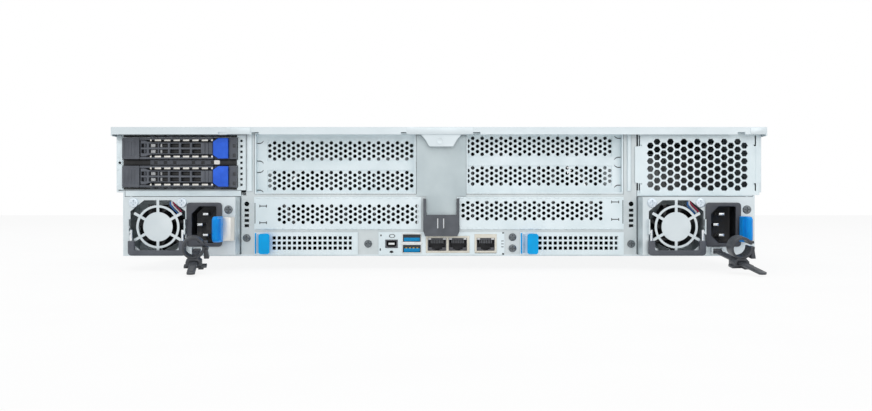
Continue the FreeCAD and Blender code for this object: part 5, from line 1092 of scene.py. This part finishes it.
flanges = {"edges": ((-130.5, -126.8), (127.8, 130.6)), "low": 44.2, "high": 82.4,
           "front": -391.4, "back": -389.9, "side": (-218.9, -215), "sideLow": 45,
           "sideHigh": 82, "hole": (-216.6, 63.3), "holeRadius": 0.9, "ringRadius": 1.5,
           "notches": (47, 58, 66.4, 77)}


def makeFlanges():
    # the folded edges beside the risers and the bare edge outside the drive trays
    size = flanges
    back, (x, z) = size["back"], size["hole"]
    edges = [addBlock("edgeFlanges", (left, size["front"], size["low"]),
                      (right, back, size["high"])) for left, right in size["edges"]]
    for edge in edges:
        bevelEdges(edge, lambda spot, way: abs(way.z) > 0.9 and spot.y < -391, 0.7, 3)
    left, right = size["side"]
    side = addBlock("side", (left, -390.7, size["sideLow"]), (right, back, size["sideHigh"]))
    cutAway(side, [addRod("hole", (x, -390.4, z), size["holeRadius"], 3)])
    ring = addRod("ring", (x, -390.8, z), size["ringRadius"], 0.6, sides=28)
    cutAway(ring, [addRod("hole", (x, -390.8, z), size["holeRadius"] + 0.1, 3)])
    notches = [addBlock("notch", (-218.8, -390.95, low), (-217.2, -390.6, low + 2))
               for low in size["notches"]]
    finishPiece(joined("edgeFlanges", edges + softened([side, ring] + notches, 0.12)),
                steelPanel, "chassis", "zinc_plated_steel")


slotShadeMarks = {"riser": -384, "thin": 0.3, "hookStart": 1.6,
             "hooks": ((-125.2, 1, (76.8, 64.7, 56.9, 44.8)),
                       (125.2, -1, (80.3, 67.3, 60.4, 48.2))),
             "hookSteps": ((1.4, 0), (1.2, 0.5), (0.9, 1)),
             "presses": ((-121.6, -117.1, (33.9, 22.6)), (117.2, 122, (36.7, 24.9))),
             "pressEnd": 0.9, "seams": ((-125.1, 22, 36), (124.6, 22, 38)), "seamWide": 0.5}


def makeSlotShadeMarks():
    # painted shade: dark hooked slits where the slot covers catch, and the marks pressed into the
    # low covers, drawn as dark pieces for the shade in these gaps and creases
    size = slotShadeMarks
    thin, plane = size["thin"], size["riser"]
    marks = []
    for edge, away, heights in size["hooks"]:
        start = edge + away * size["hookStart"]
        for height, rise in zip(heights, (1, -1, 1, -1)):
            hook = addBlock("slotShadeMarks", (min(edge, start), plane - 0.35, height - thin),
                            (max(edge, start), plane + 0.05, height + thin))
            for step, climb in size["hookSteps"]:
                tip = max(corner.co.x * 1000 * away for corner in hook.data.vertices)
                pushFaces(hook, lambda spot, facing: facing.x * away > 0.5
                          and spot.x * away > tip - 0.6, (away * step, 0, rise * climb))
            marks.append(hook)
    for left, right, heights in size["presses"]:
        for height in heights:
            marks.append(addBlock("mark", (left, -391.12, height - thin),
                                  (right, -390.8, height + thin)))
            marks += [addBlock("mark", (end - thin, -391.14, height - size["pressEnd"]),
                               (end + thin, -390.8, height + size["pressEnd"]))
                      for end in (left, right)]
    marks += [addBlock("mark", (left, -391.1, low), (left + size["seamWide"], -390.8, high))
              for left, low, high in size["seams"]]
    finishPiece(joined("slotShadeMarks", softened(marks, 0.1)), shadowGap, "chassis",
                "black_plastic")


coverTrim = {"dimple": (0.7, -399.2, 77.9), "dimpleRadius": 2.3, "dimpleRim": 0.7,
             "steps": ((-143.2, -126.6), (-22, 23), (209, 219.8)), "stepFront": -400.35,
             "stepLow": 82.1, "stepHigh": 86.7, "stepRound": 1.4,
             "fold": ((-148.6, -399.1, 81.9), (-142.4, -398.2, 84.6))}


def makeCoverTrim():
    # a round dimple in the lip's tab and the joggled ends of the lip
    size = coverTrim
    dimple = addRod("coverDimple", size["dimple"], size["dimpleRadius"], 0.6, sides=32)
    insetFaces(dimple, facesRear, size["dimpleRim"], -0.25)
    soften(dimple, 0.15)
    steps = [addBlock("step", (left, size["stepFront"], size["stepLow"]),
                      (right, -399.7, size["stepHigh"])) for left, right in size["steps"]]
    for step in steps:
        bevelEdges(step, runsDeep, size["stepRound"], 4)
    # the fold closes the notch in the lip from behind
    fold = soften(addBlock("fold", *size["fold"]), 0.15)
    finishPiece(joined("coverDimple", [dimple, fold] + softened(steps, 0.2)), steelShell,
                "top_cover", "zinc_plated_steel")


socketLook = {"front": -391.6, "back": -374, "cutFront": -393}


def socketBlock(name, low, high, front=socketLook["front"], back=socketLook["back"]):
    return addBlock(name, (low[0], front, low[1]), (high[0], back, high[1]))


displaySocket = {"shell": ((-36.4, 5.5), (-28, 11.1)), "shellRound": 1.1,
                 "mouth": ((-35.5, 6.3), (-28.9, 10.3)), "mouthCut": 1, "mouthEnd": -381,
                 "tongue": ((-34.3, 7.6), (-30.1, 9)), "tongueFront": -391.2}


def makeDisplaySocket():
    size = displaySocket
    shell = socketBlock("displayFrame", *size["shell"])
    bevelEdges(shell, runsDeep, size["shellRound"], 3)
    mouth = socketBlock("mouth", *size["mouth"], socketLook["cutFront"], size["mouthEnd"])
    bevelEdges(mouth, lambda spot, way: abs(way.y) > 0.9 and spot.z < 8, size["mouthCut"], 1)
    cutAway(shell, [mouth])
    soften(shell, 0.15)
    finishPiece(shell, portGrey, "chassis", "dark_plastic", "display_socket")
    tongue = socketBlock("displayTongue", *size["tongue"], size["tongueFront"],
                         size["mouthEnd"] + 1)
    soften(tongue, 0.2)
    finishPiece(tongue, tinPlate, "chassis", "bright_steel")


usbSocket = {"shell": ((-25, 1.9), (-11.8, 15.3)), "bar": ((-25.9, 7.9), (-10.9, 9.3)),
             "barFront": -391.9, "barBack": -391.3, "barRound": 0.65, "mouth": (-24.4, -12.4),
             "mouthRows": (2.5, 9.7), "mouthTall": 5, "mouthEnd": -380, "tongue": (-23.8, -13),
             "tongueRows": (2.8, 10), "tongueTall": 2.5, "tongueFront": -391.3,
             "mouthShade": (-24.3, -12.5), "mouthShadeRows": (2.6, 9.8), "mouthShadeTall": 4.8,
             "mouthShadeFront": -390.4, "contact": ((-22.8, 5.25), (-21.6, 5.75)), "contacts": 4,
             "contactPitch": 2.5, "contactFront": -391.1}


def makeUsbSockets():
    size = usbSocket

    def rows(name, piece, front, back):
        (left, right), tall = size[piece], size[piece + "Tall"]
        return [socketBlock(name, (left, low), (right, low + tall), front, back)
                for low in size[piece + "Rows"]]

    end = size["mouthEnd"]
    shell = socketBlock("usbShell", *size["shell"])
    cutAway(shell, rows("cutter", "mouth", socketLook["cutFront"], end))
    soften(shell, 0.15)
    bar = socketBlock("bar", *size["bar"], size["barFront"], size["barBack"])
    bevelEdges(bar, runsDeep, size["barRound"], 1)
    finishPiece(joined("usbShell", [shell, bar]), tinPlate, "chassis", "bright_steel",
                "usb_sockets")
    tongues = softened(rows("usbTongues", "tongue", size["tongueFront"], end + 0.5), 0.2)
    finishPiece(joined("usbTongues", tongues), tongueBlue, "chassis", "blue_plastic")
    # painted shade: dark grey blocks fill the socket mouths behind the tongues, where only shade
    # falls
    mouthShades = rows("usbMouthShade", "mouthShade", size["mouthShadeFront"], end + 1)
    for part in mouthShades:
        bevelEdges(part, lambda spot, way: spot.y < size["mouthShadeFront"] + 0.1, 0.2, 1)
    finishPiece(joined("usbMouthShade", mouthShades), shadowGap, "chassis", "black_plastic")
    contact = socketBlock("usbContacts", *size["contact"], size["contactFront"], end)
    soften(contact, 0.1)
    repeated(contact, size["contacts"], (size["contactPitch"], 0, 0))
    finishPiece(contact, gold, "chassis", "bright_steel")


lanSocket = {"ports": ((-7.6, 5.0), (6.6, 19.0), (25.6, 37.8)), "low": 3.6, "high": 12.3,
             "frames": (((-8.9, 2.2), (20.7, 13.6)), ((24.2, 2.2), (39.2, 14.9))),
             "steps": ((5.7, 5.9, 10.9), (3.3, 4.6, 6.5), (1.7, 3.9, 5.2)),
             "bodyFront": -391.1, "teeth": 8, "toothPitch": 1.13, "toothStart": -4.2,
             "toothWide": 0.5, "toothRows": (8.6, 10.9), "toothFront": -390.6,
             "lampWide": 2, "lampEdge": 0.3, "lampRows": (11.1, 12.2), "lampFront": -391.45}


def makeLanSockets():
    size = lanSocket
    low, high, cutFront = size["low"], size["high"], socketLook["cutFront"]
    frames = []
    for near, far in size["frames"]:
        shell = socketBlock("lanFrames", near, far)
        cutAway(shell, [socketBlock("mouth", (left, low), (right, high), cutFront, -377)
                        for left, right in size["ports"] if near[0] < left and right < far[0]])
        frames.append(shell)
    finishPiece(joined("lanFrames", softened(frames, 0.2)), creamFrame, "chassis",
                "bright_steel", "lan_sockets")
    bodies, combs, lamps = [], [], []
    for left, right in size["ports"]:
        middle = (left + right) / 2
        body = socketBlock("lanPorts", (left, low), (right, high), size["bodyFront"], -378)
        # the mouth steps down twice to the catch of the plug
        for half, bottom, top in size["steps"]:
            cutAway(body, [socketBlock("step", (middle - half, bottom), (middle + half, top),
                                       cutFront, -380)])
        bodies.append(body)
        start, (bottom, top) = middle + size["toothStart"], size["toothRows"]
        tooth = socketBlock("lanCombs", (start, bottom), (start + size["toothWide"], top),
                            size["toothFront"], -381)
        bevelEdges(tooth, lambda spot, way: spot.y < size["toothFront"] + 0.1
                   and abs(way.x) > 0.9, 0.24, 2)
        combs.append(repeated(tooth, size["teeth"], (size["toothPitch"], 0, 0)))
        bottom, top = size["lampRows"]
        lamps += [socketBlock("lanLamps", (x, bottom), (x + size["lampWide"], top),
                              size["lampFront"], -390.5)
                  for x in (left + size["lampEdge"], right - size["lampEdge"] - size["lampWide"])]
    finishPiece(joined("lanPorts", softened(bodies, 0.12)), portGrey, "chassis", "dark_plastic")
    finishPiece(joined("lanCombs", combs), combGrey, "chassis", "black_plastic")
    finishPiece(joined("lanLamps", softened(lamps, 0.2)), blankLabel, "chassis", "dark_plastic")


panelMarks = {"ring": (-31.8, -391.1, 13.6), "ringRadius": 2.1, "ringHole": 1.6,
              "ringSquash": 0.62, "half": (-32.2, -391, 2.4), "halfRadius": 1.3,
              "marks": (((42.9, 15.3), (44.2, 16.1)), ((42.9, 0.9), (44.2, 2)),
                        ((24.6, 1.9), (38.8, 2.2)), ((-40.2, 3.6), (-39.4, 5.2)),
                        ((-39.8, 13.4), (-38.9, 14.6)), ((42.3, 6), (43.9, 6.5)),
                        ((42.3, 8), (43.9, 8.5)), ((42.3, 10), (43.9, 10.5))),
              "footBars": (-1.2, 2.8), "footBarWide": 0.7, "footLow": 18.9, "footHigh": 25.6}


def makePanelMarks():
    # small pressed marks and openings in the panel, drawn as dark inlays that are painted shade in
    # the creases and holes
    size = panelMarks
    squash = size["ringSquash"]
    ring = addRod("panelMarks", size["ring"], size["ringRadius"], 0.3, sides=28)
    cutAway(ring, [addRod("hole", size["ring"], size["ringHole"], 1, sides=28)])
    wakeOnly(ring)
    ring.scale.z = squash
    ring.location.z = size["ring"][2] * (1 - squash) / 1000
    bpy.ops.object.transform_apply(location=True, scale=True)
    half = addRod("half", size["half"], size["halfRadius"], 0.3, sides=24)
    moveCorners(half, lambda spot: spot.z < 2.3, (0, 0, 0.9))
    marks = [addBlock("mark", (low[0], -391.15, low[1]), (high[0], -390.7, high[1]))
             for low, high in size["marks"]]
    finishPiece(joined("panelMarks", [ring, half] + softened(marks, 0.1)), blackNylonAndShade, "chassis",
                "black_plastic")
    bars = [addBlock("footMarks", (x, -396.85, size["footLow"]),
                     (x + size["footBarWide"], -396.3, size["footHigh"]))
            for x in size["footBars"]]
    finishPiece(joined("footMarks", softened(bars, 0.2)), blankLabel, "chassis", "bright_steel")


frontTrim = {"first": -204.8, "step": 106.4, "ribs": 6, "ribStart": 4, "ribWide": 1.1,
             "ribPitch": 2.6, "ribFront": 392.6, "low": 9.2, "high": 22.2,
             "lampPlace": 95, "lampRows": (9.5, 15), "lampRadius": 0.9}


def makeFrontTrim():
    # grip ribs on each lever, and two light windows on each front tray
    size = frontTrim
    front = size["ribFront"]
    for number in range(1, 5):
        start = size["first"] + size["step"] * (number - 1)
        left = start + size["ribStart"]
        rib = addBlock("frontRibs%d" % number, (left, 391.5, size["low"]),
                       (left + size["ribWide"], front, size["high"]))
        bevelEdges(rib, lambda spot, way: spot.y > front - 0.1 and abs(way.z) > 0.9, 0.45, 3)
        soften(rib, 0.12)
        repeated(rib, size["ribs"], (size["ribPitch"], 0, 0))
        finishPiece(rib, barPlastic, "front_lever_%d" % number, "dark_plastic")
        lamps = [addRod("frontLamps%d" % number, (start + size["lampPlace"], 391.95, height),
                        size["lampRadius"], 0.5, sides=20) for height in size["lampRows"]]
        finishPiece(joined("frontLamps%d" % number, softened(lamps, 0.15)), blankLabel,
                    "front_tray_%d" % number, "dark_plastic")


boardParts = {"board": 5.8, "choke": (-98, -16), "chokeWide": 8, "chokeTop": 12, "chokes": 8,
              "chokePitch": 10, "rowsApart": 118, "can": 3.2, "canTall": 8, "canMiddle": 10,
              "cans": ((-60, 34), (-48, 34), (48, 34), (60, 34), (0, -12), (10, -12)),
              "chip": ((-14, 8), (14, 36)), "chipTop": 9}


def makeBoardParts():
    # chokes, capacitors and one chip on the main board, behind the fans
    size = boardParts
    bottom, top, (x, y) = size["board"], size["chokeTop"], size["choke"]
    choke = addBlock("boardChokes", (x, y, bottom),
                     (x + size["chokeWide"], y + size["chokeWide"], top))
    bevelEdges(choke, lambda spot, way: spot.z > top - 0.1 or abs(way.z) > 0.9, 0.9, 2)
    repeated(choke, size["chokes"], (size["chokePitch"], 0, 0))
    other = copied(choke, "other", (size["rowsApart"], 0, 0))
    finishPiece(joined("boardChokes", [choke, other]), trayPlastic, "chassis", "dark_plastic")
    cans = [addRod("boardCans", (x, y, size["canMiddle"]), size["can"], size["canTall"], "z", 20)
            for x, y in size["cans"]]
    for can in cans:
        bevelEdges(can, lambda spot, way: abs(way.z) < 0.5
                   and spot.z > size["canMiddle"] + size["canTall"] / 2 - 0.1, 0.4, 2)
    finishPiece(joined("boardCans", cans), aluminium, "chassis", "bright_steel")
    near, far = size["chip"]
    chip = addBlock("boardChip", (*near, bottom), (*far, size["chipTop"]))
    bevelEdges(chip, lambda spot, way: abs(way.z) > 0.9, 1.5, 2)
    insetFaces(chip, lambda spot, facing: facing.z > 0.9, 2, 0.6)
    soften(chip, 0.2)
    finishPiece(chip, portGrey, "chassis", "dark_plastic")


stages = {
    "the perforated plates and screws are made":
        (makeSlotCovers, makeVentPanel, makeCardCovers, makeRearScrews),
    "the power supplies are dressed":
        (makeSupplyInlets, makeSupplyHandles, makeSupplyLatches, makeSupplyStraps,
         makeSupplyClamps, makeSupplyTrim),
    "the drive trays are dressed": (makeTrayLevers, makeTrayButtons, makeTrayTrim, makeBayStrips),
    "the flanges and marks are made": (makeFlanges, makeSlotShadeMarks, makeCoverTrim),
    "the sockets are made": (makeDisplaySocket, makeUsbSockets, makeLanSockets, makePanelMarks),
    "the front and the boards are dressed": (makeFrontTrim, makeBoardParts),
}
for message, makers in stages.items():
    for make in makers:
        make()
    print(message)
